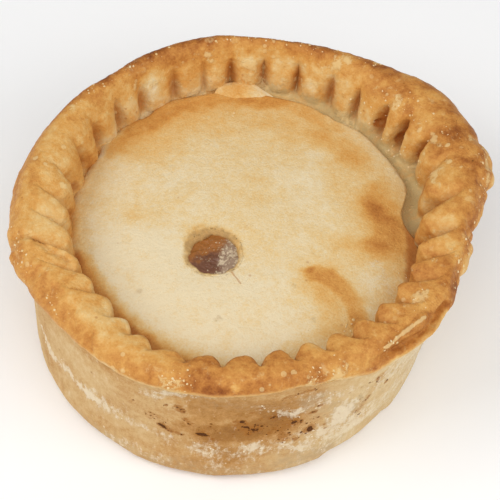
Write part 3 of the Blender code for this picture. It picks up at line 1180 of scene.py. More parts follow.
@dataclass(frozen=True)
class Rim:
    """The rim: a lip, a rounded top and an inner face that finger and thumb have pinched.

    Args:
        pinches: the crimps in order.
        slant: degrees that a pinch leans back from the valley to its outer end.
        depth: how far a pinch bites into the inner face.
        reach: share of the top's width that a pinch runs over.
        ramp: how slowly a pinch deepens, as a share of the top's width.
        fullness: how square the pads between the pinches are, 2 for round ones.
        inset: how much further in the inner face stands than the solid rim's.
        crisp: 1 where grooves are cut between flat pads, 0 where round lobes meet.
        skew: how far a lobe leans over the next one.
        soft: 1 where lobes run softly into one another, 0 where they meet in a sharp line.
        slope: how far the top falls to its inner edge, beyond its own rounding.
        swell: how far the rim stands out of the solid rim's smooth curve.
        outline: how far the torn outer edge strays from that.
        floor_lift: how far the foot of the inner face is built up beside the lid.
        pad_share: how far the pads stand in from the inner face, as a share of the depth.
        sink: how far a pinch lowers the top, as a share of its depth.
        outer_bake: how brown the outer part of the top is.
        inner_bake: how brown the inner part and the face are.
        groove_shade: how dark the painted shade in the pinches is.
        channel: middle of the channel under the folded edge, with the ridge along it.
    """

    columns: int = 960
    relief: Relief = Relief(0.00036, 0.0042, 0.00018, 0.0012, 4)
    pinches: tuple[Pinch, ...] = PINCHES
    slant: Ring = Ring((
        (0, 9), (25, 3), (50, -3), (90, 1), (140, 3), (160, 0), (185, -10), (205, -13), (225, -10),
        (250, -3), (285, 3), (330, 10)))
    depth: Ring = Ring((
        (0, .0037), (15, .0034), (30, .0027), (60, .002), (90, .0019), (150, .0021), (185, .002),
        (230, .0024), (255, .0021), (300, .0034), (330, .0038)))
    reach: Ring = Ring((
        (0, .7), (30, .35), (60, .2), (100, .16), (140, .22), (165, .45), (185, .8), (205, .8),
        (230, .4), (250, .4), (285, .5), (320, .6)))
    ramp: Ring = Ring((
        (0, .8), (40, .9), (90, 1), (140, 1), (170, 1.1), (205, .8), (250, .5), (320, .7)))
    fullness: Ring = Ring((
        (0, 2.4), (60, 3), (120, 3), (160, 2.4), (200, 2.2), (240, 2.4), (260, 3), (300, 3), (335, 2.4)))
    inset: Ring = Ring((
        (0, .0022), (8, .0023), (16, .0018), (25, .0012), (38, .0011), (55, .0007), (70, 0), (160, 0),
        (300, 0), (340, .0004), (350, .0012)))
    crisp: Ring = Ring(((0, .2), (40, .3), (90, .35), (140, .3), (180, .1), (230, .1), (320, .1)))
    soft: Ring = Ring((
        (0, .45), (60, .3), (110, .4), (140, .5), (165, .8), (205, .8), (235, .6), (258, .3),
        (300, .35), (330, .5)))
    slope: Ring = Ring((
        (0, .0008), (45, .001), (75, .0018), (130, .0018), (165, .0012), (200, .0004), (240, 0),
        (300, 0)))
    skew: Ring = Ring(((0, .4), (60, 0), (150, 0), (190, -.7), (220, -.6), (260, 0), (320, .25)))
    floor_lift: Ring = Ring((
        (0, .0008), (20, .0006), (50, .0006), (90, .0008), (130, .0008), (165, .0011), (200, .0012),
        (250, .0012), (300, .0012), (335, .001)))
    swell: Ring = Ring((
        (0, 0), (30, 0), (38, .0008), (46, .0008), (54, 0), (75, -.0004), (90, -.0007), (98, -.0004),
        (110, -.0002), (125, 0), (138, .0001), (145, .0009), (161, .0009), (169, .0006), (177, .001),
        (184, .0009), (190, 0), (205, 0), (210, .0002), (220, 0), (328, 0), (334, .0005), (340, .0001),
        (352, .0005), (357, 0)))
    outline: Ring = Ring((
        (0, -.0007), (2.5, -.0003), (5, -.0006), (8, -.001), (10, -.0007), (12.3, -.0014), (14, .0002),
        (17, 0), (20, .0006), (23, .0003), (24.7, -.0004), (26, .0002), (35, 0), (80, 0), (126, 0),
        (127.5, .0003), (129, 0), (170, 0), (190.5, 0), (191.5, .0002), (192.5, .0001), (193.5, 0),
        (197.3, -.0002), (198.4, .0003), (200, 0), (203, .0001), (207, -.0002), (210, .0001), (214, 0),
        (250, 0), (300, 0), (317, .0003), (325, 0), (330, -.0007), (334, -.0007), (338, -.0009),
        (341, -.0008), (343, -.0012), (346, -.0007), (350, -.0007), (352.6, -.0003), (354.7, -.0011),
        (357, -.0005), (358.7, -.0013)))
    pad_share: Ring = Ring(((0, .6), (30, .75), (60, .55), (100, .5), (150, .6), (200, .4), (300, .4)))
    sink: float = 0.75
    steps: tuple[int, ...] = (1, 2, 3, 4, 11, 12, 14, 12, 10, 9, 10, 7, 2, 2, 1)
    outer_bake: Ring = Ring((
        (0, .64), (40, .62), (70, .66), (90, .72), (140, .7), (165, .58), (190, .5), (215, .5),
        (240, .56), (262, .66), (290, .64), (315, .64), (345, .66)))
    inner_bake: Ring = Ring((
        (0, .5), (20, .5), (50, .44), (90, .4), (150, .38), (200, .38), (235, .4), (262, .6),
        (290, .53), (330, .52)))
    groove_shade: Ring = Ring(((0, 1), (50, 1), (90, .95), (140, .85), (170, .7), (200, .75), (240, 1)))
    channel: Line = ((304, 44.4, 36.8), (312, 44.3, 37.3), (322, 45.0, 36.8), (331, 44.6, 37.2))
    ridge: Line = ((305, 42.6, 38.6), (309, 43.2, 38.3), (314, 42.7, 38.7), (324, 43.2, 38.8))
    fold: Line = ((194.5, 48.2), (197.5, 44.8), (202.5, 42.6), (206.5, 40.0))
    slit: Line = ((29.0, 40.8, 39.4), (26.5, 41.2, 39.6))
    # Folds, steps and holes that the crimping left, with strengths in millimetres.
    shapes: Marks = (
        # crevices at the back right and pits at the front right
        spot(48.5, 38.6, 32.7, 1.5, -.6), spot(40, 39.5, 32, 1.7, -.7), spot(314.5, 37.8, 34.5, 1.6, -.8),
        spot(304.8, 37.4, 34.5, 1.7, -.9), line(slit, .8, -.5),
        # the folded-over edge at the front right: a channel with a ridge along its upper side
        line(channel, 1.4, -1.5, .2, .1), line(ridge, 1, .45),
        # the step at the front left
        line(((229.5, 46.3, 38.2), (231.5, 47.8, 36.2)), 1.2, -.5),
        top(((206, 47.4), (217, 45.6), (229, 45.8)), 1.8, -.45),
        # a long fold at the left
        top(fold, 1.1, -.45),
    )
    # Places baked darker, or lighter where the strength is below zero.
    browning: Marks = (
        top(((258.5, 45), (262.5, 45.4)), 3, .07, .5, .2),
        line(((268.4, 45.3, 38), (269.2, 46.2, 36.8)), 1.3, -.24, .5),
        top(((132, 44), (146, 43.5), (158, 43)), 6, .07, .2),
        top(((205, 47), (218, 45.5), (230, 46)), 2.4, .05),
        top(((213, 47.2), (224, 46.2), (230, 46.6)), 2, .04), top(((240, 43), (250, 42.5)), 4, -.05),
        top(((152, 38), (158, 37.4)), 1.6, .1), top(((182, 36.8), (196, 36.8)), 1.6, .14),
        top(((337, 37), (337, 42.5)), 3.6, .1, .3), top(((327, 37.5), (326, 41)), 3, -.06, .2),
        top(((354, 37), (357, 41.5)), 3.4, -.04, .2), top(((171, 45.5), (191, 45)), 1.5, .1),
        top(((120, 41), (100, 41)), 2.2, .06),
        top(((25, 51.4), (14, 50.8), (3, 46.6), (352, 45), (340, 44.4)), 1, -.22, .4),
        line(((294, 43.2, 37.2), (298, 43.4, 36.6), (302.5, 43.3, 36.2)), 2.8, -.17, .2),
        line(((304, 45.2, 34.8), (318, 45.6, 35), (330, 45.2, 35.6)), 1.3, -.26, .4),
    )
    # Painted shade in crevices, pits, the channel and the fold, as dark as the bottom of a pinch.
    crevices: Marks = (
        spot(48.5, 38.8, 32.5, 1.7, 1.4), spot(40, 39.8, 31.8, 2.2, 1.6), spot(30.5, 40, 33.5, 1.6, .9),
        line(channel, 1.5, .85), top(fold, .7, .5), spot(161, 37.8, 31.5, 2, .5),
        spot(170, 37.6, 31.5, 2.2, .6), spot(180, 37.6, 31.5, 2, .5), spot(193.5, 38.6, 36, 1, 1),
        spot(204.5, 38.6, 36.5, .8, .8), spot(314.5, 37.8, 34.5, 1.4, .8),
        spot(304.8, 37.4, 34.5, 1.5, .9), spot(294.5, 36.4, 34, 1.3, .6),
        line(((198, 37.6, 31.5), (208, 36.8, 31), (217, 36.4, 31), (228, 36.6, 31)), 1.8, .9),
        line(((342, 35.6, 31), (350, 35, 31), (358, 34.6, 30.5), (7, 34.8, 30.2)), 2.2, 1.2, .3, .2),
    )
    # Dry, flaked and blistered places.
    dry_skin: Marks = (
        top(((150, 41.7),), 1.6, .35), top(((112, 41.6), (106, 41.6)), 1.8, .38, .1, .6),
        top(((171.5, 45.5),), 1, .9), top(((173.5, 43),), .7, .9), top(((174, 39.8),), .9, .9),
        top(((178.5, 38.8),), 1, .8), top(((191, 41.2),), .6, .8), spot(265.2, 45.7, 37.9, .85, 1, .6),
        top(((46, 41.6), (45, 39.8)), 1.4, .6), top(((34, 40.2),), 1, .8),
        top(((329, 39.8), (325, 40.2)), 2, .35), top(((288, 43.5), (292, 43), (297, 42.8)), 2.6, .36, .1),
        line((*ridge[:-1], (323, 43.2, 38.8)), .55, 1), spot(254.6, 46.3, 38.1, .9, .5),
        spot(256.6, 46.5, 37.8, .9, .45), top(((18.5, 41.5),), .9, .8), top(((24, 42.8),), .8, .9),
        top(((28.5, 41.4),), .8, .8), top(((16, 43.6),), .7, .7),
        top(((255, 46.4), (251, 46.6)), 1.4, .5), top(((22, 50.5), (10, 49)), 1, .5),
    )
    # Places with loose flakes and grains.
    crumbs: Marks = (
        top(((104, 43.5), (92, 43.5), (80, 43.5), (68, 44), (58, 45.5)), 3, .75, .1),
        top(((150, 43.5), (140, 43.5), (128, 43.5), (115, 43.8)), 2.6, .65, .1),
        top(((205, 48.6), (199, 48.8), (193, 48.6)), 2, .9), top(((214, 46.4), (222, 46.6)), 1.6, .8),
        top(((257, 44.5), (252, 46)), 2.6, 1.1), top(((289, 43.2), (296, 42)), 3, .9),
        line(((305, 42.4, 38.6), (309, 43.2, 38.2), (314, 42.5, 38.6)), 1.2, 1.2),
        top(((330, 39.6), (324, 41)), 2.6, .7),
        top(((22, 50.5), (5, 46.8), (350, 43.8), (338, 43.8)), 1.8, .8),
        top(((50, 42), (36, 42.5), (25, 44)), 3.6, .5),
        top(((60, 38.4), (38, 37.6), (22, 37.2)), 1.6, .7),
    )
    # Places that hold burnt specks.
    scorches: Marks = (
        spot(48.5, 38.8, 32.5, 1.3, .8), spot(40, 39.8, 31.8, 1.7, .9), line(slit, .6, .9),
        top(((284, 45.2), (288, 45)), 1.4, .35), top(((30, 47), (10, 46)), 3, .22),
        top(((50, 44.5), (30, 46.5)), 2.5, .2),
    )

    def pinch(self, degrees: np.ndarray, way: np.ndarray) -> np.ndarray:
        """How far each point lies in a pinch.

        Args:
            degrees: angles at the inner edge.
            way: share of the way in across the top, past 1 down the face, where grooves widen.

        Returns:
            1 in the middle of a pinch and 0 between two.
        """
        rows = [astuple(pinch) for pinch in self.pinches]
        marks, strengths, breadths = np.array(
            [(rows[-1][0] - 360.0, *rows[-1][1:]), *rows, (rows[0][0] + 360.0, *rows[0][1:])]).T
        turned = np.mod(degrees, 360.0)
        left = np.clip(np.searchsorted(marks, turned, side="right") - 1, 0, len(marks) - 2)
        share = (turned - marks[left]) / (marks[left + 1] - marks[left])
        share = share ** (2.0 ** self.skew.at(degrees))
        nearest = np.where(share < 0.5, left, left + 1)
        away = 1.0 - np.abs(2.0 * share - 1.0)
        widen = 0.55 + 0.85 * smooth(way, 0.7, 1.8)
        groove = 1.0 - smooth(away / (breadths[nearest] * widen), 0.0, 1.0)
        lobe = 1.0 - np.sqrt(np.maximum(0.0, 1.0 - (1.0 - away) ** self.fullness.at(degrees)))
        soft = self.soft.at(degrees)
        lobe = (1.0 - soft) * lobe + soft * (1.0 - smooth(away, 0.0, 1.0)) ** 1.5
        crisp = self.crisp.at(degrees)
        return strengths[nearest] * (crisp * groove + (1.0 - crisp) * lobe)

    def skin(self) -> Skin:
        """Shape the rim as one ring of pastry.

        Returns:
            The rim's grid, with its layers.
        """
        degrees = 360.0 * np.arange(self.columns) / self.columns
        rim, inset = PIE.rim_radius.at(degrees), self.inset.at(degrees)
        inner, foot = PIE.rim_inner.at(degrees) - 0.8 * inset, PIE.rim_foot.at(degrees) - inset
        crest, lip = PIE.crest(degrees), PIE.lip(degrees)
        edge = PIE.lid_radius.at(degrees) - inset
        under = lip - PIE.lip_thickness
        inside = rim - PIE.overhang.at(degrees) - 0.5 * MM
        floor, slope = self.floor_lift.at(degrees), self.slope.at(degrees)
        width, drop, face = rim - inner, crest - lip, crest - PIE.valley
        # Each row is one line round the rim: its radius, its height, its share of the way in (past 1
        # down the face) and how far the pinches show.  The rows go up the outside, over and down.
        controls = np.array([np.broadcast_arrays(*row) for row in (
            (edge - 7.0 * MM, PIE.valley - 5.0 * MM, 2.1, 0.0),
            (inside - 0.3 * (under - PIE.valley - 1.0 * MM), PIE.valley + 1.0 * MM, -0.3, 0.0),
            (inside + 0.2 * MM, under - 0.1 * MM, -0.2, 0.0),
            (rim - PIE.lip_slope, under, -0.1, 0.0),
            (rim, crest - 0.94 * drop, 0.0, 1.0),
            (rim - 0.10 * width, crest - 0.48 * drop, 0.10, 1.0),
            (rim - 0.28 * width, crest - 0.14 * drop, 0.28, 1.0),
            (rim - 0.56 * width, crest - 0.06 * slope, 0.56, 1.0),
            (rim - 0.80 * width, crest - 0.05 * drop - 0.45 * slope, 0.80, 1.0),
            (rim - 0.98 * width, crest - 0.24 * drop - slope, 1.0, 1.0),
            (0.8 * inner + 0.2 * foot, PIE.valley + 0.74 * face - 0.8 * slope, 1.3, 1.0),
            (0.35 * inner + 0.65 * foot, PIE.valley + 0.32 * face, 1.75, 1.0),
            (foot, PIE.valley + 0.6 * floor + 0.08 * face, 2.0, 0.7),
            (edge + 0.2 * MM, PIE.valley + floor, 2.1, 0.0),
            (edge - 5.5 * MM, PIE.valley + 0.6 * floor, 2.1, 0.0))])
        radius, height, way, shown = np.moveaxis(blend_rows(controls, self.steps, True), 1, 0)
        shown, across = np.clip(shown, 0.0, 1.0), np.clip(way, 0.0, 1.0)
        pinch = self.pinch(degrees - self.slant.at(degrees) * (1.0 - across), way)
        depth = self.depth.at(degrees)
        into = smooth(way - 1.0 + self.reach.at(degrees), 0.0, self.ramp.at(degrees)) * shown
        pad = self.pad_share.at(degrees)
        bite = depth * ((1.0 + pad) * pinch - pad)
        torn = self.outline.at(degrees) * smooth(0.4 - way, 0.0, 0.35)
        full = self.swell.at(degrees) * smooth(1.2 - way, 0.0, 1.0)
        radius = radius + bite * into + (torn + full) * smooth(way, -0.19, -0.09)
        height = height - self.sink * depth * pinch * into * smooth(1.5 - way, 0.0, 0.6)
        deepest = inside - 0.4 * MM - 0.3 * np.maximum(0.0, under - height)
        radius = np.where((way > 1.0) & (way < 2.05), np.clip(radius, edge + 0.1 * MM, deepest), radius)
        angle = np.broadcast_to(np.radians(degrees), radius.shape)
        points = np.stack([
            PIE.centre[0] + radius * np.cos(angle), PIE.centre[1] + radius * np.sin(angle), height], -1)
        skin = Skin(points, True)
        lift = layered(points, self.shapes, 300) * MM * smooth(way, -0.05, 0.05)
        skin.points = points + skin.normals() * lift[..., None]
        self.tint(skin, np.broadcast_to(degrees, radius.shape), way, pinch * into)
        return skin

    def tint(self, skin: Skin, degrees: np.ndarray, way: np.ndarray, groove: np.ndarray) -> None:
        """Lay the rim's browning and its other layers, whose weights are given.

        Args:
            skin: the rim, whose layers are filled in.
            degrees: angle of each point.
            way: share of the way in across the top, past 1 down the face.
            groove: depth in a pinch.
        """
        points = skin.points
        height = points[..., 2]
        cloud = cloudy(points, 0.008, 3, 4)
        back = towards(degrees, 75.0, 0.0, 0.6)
        band = 1.0 - smooth(way + 0.12 * cloud, 0.05 + 0.35 * back, 0.45 + 0.60 * back)
        rind = 0.20 * towards(degrees, 110.0, 0.45, 0.9)
        rind = rind * (1.0 - smooth(way + 0.1 * cloud, 0.16, 0.42))
        outer, inner = self.outer_bake.at(degrees), self.inner_bake.at(degrees)
        low = 1.0 - smooth(height, PIE.valley + 1.0 * MM, PIE.valley + 8.5 * MM)
        facing = smooth(way, 0.9, 1.2)
        # a pale band along the front lip's outer edge: a painted highlight
        lip = (1.0 - smooth(way, -0.04, 0.025)) * towards(degrees, 285.0, 0.3, 0.7)
        bake = outer * band + inner * (1.0 - band) + 0.10 * cloud + rind
        bake = bake - (0.07 + 0.12 * low) * facing * back - (0.30 + 0.12 * cloud) * lip
        bake = bake + layered(points, self.browning, 400)
        floor = 1.0 - smooth(height, PIE.valley + 0.8 * MM, PIE.valley + 4.0 * MM)
        damp = (0.40 * low + 0.5 * floor) * facing * towards(degrees, 40.0, 0.2, 0.9)
        damp = damp * (1.0 + 0.7 * cloudy(points, 0.0022, 6)) * (1.0 - 0.6 * np.clip(groove, 0.0, 1.0))
        patches = cloudy(points, 0.0034, 8, 4) * towards(degrees, 65.0, -0.5, 0.5)
        bake = bake + 0.02 * back + 0.19 * patches
        blotchy = smooth(cloudy(points, 0.0030, 5), 0.0, 0.7)
        blotchy = blotchy * (0.34 + 0.24 * back * smooth(way, 0.4, 0.9) * (1.0 - floor))
        skin.tints = {
            Tint.BAKE: bake,
            # painted shade in the pinches, with some real browning, and in the crevices
            Tint.GROOVE: self.groove_shade.at(degrees) * np.clip(groove * (1.1 + 0.4 * back), 0.0, 1.0)
            + layered(points, self.crevices, 500),
            Tint.DAMP: damp,
            Tint.PALE: blotchy + layered(points, self.dry_skin, 600) + 0.22 * floor * facing * back
            + 0.30 * smooth(-patches, 0.12, 0.5),
            Tint.SCORCH: layered(points, self.scorches, 700),
            Tint.CRUMB: layered(points, self.crumbs, 800),
            Tint.RELIEF: smooth(way, -0.4, 0.0),
        }

    def build(self, finish: Material) -> Piece:
        """Make the rim."""
        return self.relief.raise_on(self.skin().mesh("rim"), "crimped_rim", finish)


# ---- the wall ----
@dataclass(frozen=True)
class Wall:
    """The wall and base: a solid tub of pastry that leans out to the rim.

    Args:
        lean: share of the rise and share of the lean, from the base's edge up to the rim.
        base_rings: rings under the base, as shares of its radius.
        base_turns: degrees of the bottom edge's rounding.
        steps: rows between one control and the next.
    """

    columns: int = 900
    relief: Relief = Relief(0.00035, 0.011, 0.00012, 0.0016, 9)
    base_rings: tuple[float, ...] = (0.05, 0.5, 0.8)
    lean: tuple[tuple[float, float], ...] = ((0.35, 0.25), (0.7, 0.6), (1.0, 1.0))
    base_turns: tuple[float, ...] = (0.0, 30.0, 60.0, 90.0)
    steps: tuple[int, ...] = (1, 2, 6, 3, 4, 5, 25, 26, 25, 3, 2, 2)
    ground: Ring = Ring((
        (0, .2), (60, .26), (120, .24), (180, .26), (206, .27), (225, .28), (245, .33), (262, .4),
        (280, .43), (294, .31), (308, .19), (335, .14)))
    streak: Line = ((203, 15.5), (210, 12), (218, 14), (230, 14.5))
    # Hollows and swellings, with strengths in millimetres.
    shapes: Marks = (
        side(((262, 27), (276, 24)), 7, -.35, .2), side(((300, 18), (312, 20)), 8, .35, .1),
        side(((228, 16), (236, 24)), 8, .3, .1), side(((252, 30), (262, 31.5)), 2.2, -.35),
        side(((302, 3), (313, 3)), 8, -.6, .3), side(((247, 3), (258, 3)), 8, .35, .3),
    )
    # Places baked darker, or lighter below zero.
    browning: Marks = (
        side(((262, 18.2), (273, 19.6), (282, 22)), 4.8, .19, .45, .25),
        side(((256, 12), (266, 10)), 6, .06), side(((256, 19), (259, 20)), 3, .08),
        side(((260, 28), (285, 28)), 6, .12), side(((222, 6), (250, 6)), 7, .02),
        side(((310, 28), (308, 24), (304, 17)), 1.6, .2, .1, .6), side(((205, 18), (208, 30)), 6, .08),
        side(((218, 28), (235, 31)), 4, .1), side(((205, 10), (214, 9)), 5, .08),
        side(((280, 4), (300, 6)), 6, -.06),
    )
    # Places dusted with flour.
    flour: Marks = (
        side(streak, 1.7, .5, .1, .8), side(streak, 4.2, .22, .1, .8),
        side(((228, 14.5), (239, 15.5), (247, 14.5), (252, 14)), 3, .38, .1, .8),
        side(((247, 29), (254, 31.5), (261, 33)), 2.2, .55, .3, .6),
        side(((261, 12.5), (267, 10.5), (273, 12)), 5, .44, .1, .6),
        side(((272, 13), (280, 14.5)), 2.8, .36, .1, .6),
        side(((281, 12), (288, 10.5)), 3.2, .34, .1, .6),
        side(((276, 28.5), (282, 25), (286, 25)), 2.6, .4, .1, .6),
        side(((288, 28), (298, 27), (301, 20)), 5.4, .36, .1, .9),
        side(((298, 23), (296, 16), (304, 12)), 5.4, .3, .1, .9),
        side(((308, 12), (326, 15), (342, 16)), 11, .42, .4, .7),
        side(((315, 26), (340, 28)), 8, .42, .3), side(((300, 8), (290, 13)), 6, .32, .2, .8),
        side(((233, 5), (250, 6)), 3, .22), side(((236, 2.5), (262, 3.5), (290, 2.5)), 5, .2, .1),
    )
    # Places where the crust is greyish.
    damp: Marks = (
        side(((262, 31), (274, 29), (290, 30)), 4.6, .3), side(((290, 27), (300, 19)), 6.5, .46),
        side(((312, 22), (330, 20)), 9, .28), side(((285, 8), (300, 6)), 5, .35),
        side(((222, 31), (240, 31)), 2.5, .25), side(((225, 2), (262, 4), (295, 3)), 6, .44, .3),
    )
    # Burnt specks.
    scorches: Marks = (
        side(((254.2, 27), (255.4, 25.2)), 1, .85, .1, .6), dot(254.6, 26.2, 2, .4),
        side(((256.2, 22.6), (257.4, 21)), .9, .8, .1, .6), dot(258.4, 21.6, .5, .7),
        side(((250, 18.2), (252, 17.3)), 2.2, .4, .2), dot(260.4, 17.8, 1.8, .45),
        side(((271, 22.6), (272, 20.8)), 2.2, .45), dot(274.5, 20.4, 2.6, .45), dot(254.8, 26.2, 1.8, .3),
        side(((249.7, 18.4), (250.4, 17.9)), 1, 1.5, .3), side(((251.2, 17.3), (252.8, 16.7)), .6, 1.1),
        side(((254, 16.8), (255.4, 16.4)), .6, 1.1), side(((251, 20.4), (247, 21)), 1.6, .35),
        side(((260, 17.7), (260.8, 17.9)), .85, 1.5), side(((261.2, 17.9), (262, 17.6)), .6, 1.2),
        dot(271, 23.2, .95, 1.3), dot(269, 23.4, .9, .9), dot(271.4, 21.2, .65, 1.35),
        dot(272.3, 21, .65, 1.4), side(((274.2, 19.9), (274.7, 19.8)), .7, 1.3),
        dot(274.5, 21.3, .7, 1.15), dot(272.5, 18.5, .75, 1.2), dot(275.5, 23.9, .8, 1),
        dot(275.5, 28.4, .65, 1.2), dot(273.2, 26.6, .65, 1.3), dot(278.2, 23.9, .7, 1.3),
        side(((279.2, 24.4), (279.3, 23.7)), .6, 1.35), dot(279.4, 19.6, .6, 1.3),
        dot(278.3, 18.4, .6, 1.2), dot(284.9, 21.3, .85, 1.5), dot(285, 21.3, 2.2, .4),
        side(((289.6, 17.5), (289.5, 16.4)), .75, 1.5, .35), dot(289.6, 17, 2.2, .45),
        side(((285.6, 14.2), (286.2, 14.2)), .75, 1.25), side(((282.4, 14.7), (282, 16.5)), 1.8, .55),
        dot(290.2, 23.8, .8, 1.4), dot(289.2, 23.8, .6, 1.3), dot(291.6, 25.6, .8, 1.3),
        dot(294.4, 15.4, .7, 1.2), dot(293.8, 17.4, .9, .7), dot(286.8, 21.1, .65, 1.15),
        dot(263.3, 16.3, .6, 1.15), dot(257.5, 15.5, .9, .6), dot(251.2, 26.4, .65, 1.2),
        dot(305.3, 14.7, .7, 1.4), dot(312.6, 23, .7, 1.3), dot(308.9, 26.2, 1.1, .7),
        dot(308.6, 27.4, .7, .9), side(((307.2, 21.6), (306.4, 20)), .6, .7), dot(228.5, 23, .6, .7),
        dot(214.3, 18.3, .5, .7), dot(242.5, 24, .5, .8), dot(246.8, 19.3, .45, .8),
        side(((264, 20), (273, 20.5), (280, 21.5)), 5, .34, .4),
        side(((284, 19), (289, 20)), 5.5, .38, .3), side(((281, 31.5), (289, 33)), 1, .7),
        side(((240, 20), (256, 21)), 6, .14), side(((262, 28), (280, 28)), 4, .12),
        side(((305, 27), (303, 17)), 2.5, .35),
    )

    def ring(self, centre: tuple[float, float], radius: Any, height: Any) -> np.ndarray:
        """One ring of points.

        Args:
            centre: its middle.
            radius: one radius, or one for each column.
            height: one height, or one for each column.

        Returns:
            columns by x, y, z.
        """
        angle = 2.0 * math.pi * np.arange(self.columns) / self.columns
        radius, height = np.broadcast_to(radius, angle.shape), np.broadcast_to(height, angle.shape)
        x, y = centre[0] + radius * np.cos(angle), centre[1] + radius * np.sin(angle)
        return np.stack([x, y, height], -1)

    def skin(self) -> Skin:
        """Shape the wall from the middle of the base to under the rim, where it is hidden.

        Returns:
            The wall's grid, with its layers.
        """
        degrees = 360.0 * np.arange(self.columns) / self.columns
        rim = PIE.rim_radius.at(degrees) - PIE.overhang.at(degrees)
        under = PIE.lip(degrees) - PIE.lip_thickness + 0.2 * MM
        controls = [self.ring(PIE.base_centre, share * PIE.base_radius, 0.0) for share in self.base_rings]
        for turn in self.base_turns:
            out = PIE.base_radius - PIE.base_round * (1.0 - math.sin(math.radians(turn)))
            up = PIE.base_round * (1.0 - math.cos(math.radians(turn)))
            controls.append(self.ring(PIE.base_centre, out, up))
        low, high = controls[-1], self.ring(PIE.centre, rim, under)
        for rise, lean in self.lean:
            point = low + (high - low) * lean
            point[:, 2] = low[:, 2] + (high[:, 2] - low[:, 2]) * rise
            controls.append(point)
        # the hidden end, in under the rim and down inside it
        controls.append(self.ring(PIE.centre, rim - 0.5 * MM, under + 0.1 * MM))
        controls.append(self.ring(PIE.centre, rim - 6.0 * MM, PIE.valley - 3.0 * MM))
        controls.append(self.ring(PIE.centre, 0.5 * rim, PIE.valley - 8.0 * MM))
        points = blend_rows(np.array(controls), self.steps, False)
        points[..., 2] = np.maximum(points[..., 2], 0.0)
        skin = Skin(points, False)
        outside = smooth(points[..., 2], 0.3 * MM, 2.5 * MM)
        lift = layered(points, self.shapes, 100) * MM * outside
        skin.points = points + skin.normals() * lift[..., None]
        self.tint(skin, np.broadcast_to(degrees, points.shape[:2]), outside)
        return skin

    def tint(self, skin: Skin, degrees: np.ndarray, outside: np.ndarray) -> None:
        """Lay the wall's browning, flour and burnt specks, whose weights are given.

        Args:
            skin: the wall, whose layers are filled in.
            degrees: angle of each point.
            outside: 1 where it isn't the base.
        """
        points = skin.points
        behind = towards(degrees, 85.0, 0.0, 0.5)
        skin.tints = {
            Tint.BAKE: self.ground.at(degrees) + 0.07 * cloudy(points, 0.012, 11)
            + layered(points, self.browning, 120),
            Tint.FLOUR: (0.12 + 0.40 * behind * smooth(cloudy(points, 0.011, 12), -0.1, 0.6)) * outside
            + layered(points, self.flour, 140) * outside + 0.25 * (1.0 - outside),
            Tint.DAMP: layered(points, self.damp, 160),
            Tint.PALE: 0.15 * smooth(cloudy(points, 0.005, 15), 0.2, 0.8),
            Tint.SCORCH: layered(points, self.scorches, 180)
            + behind * 0.5 * smooth(cloudy(points, 0.006, 17), 0.62, 0.8),
            Tint.RELIEF: outside,
        }

    def build(self, finish: Material) -> Piece:
        """Make the wall."""
        return self.relief.raise_on(self.skin().mesh("wall"), "pie_wall", finish)


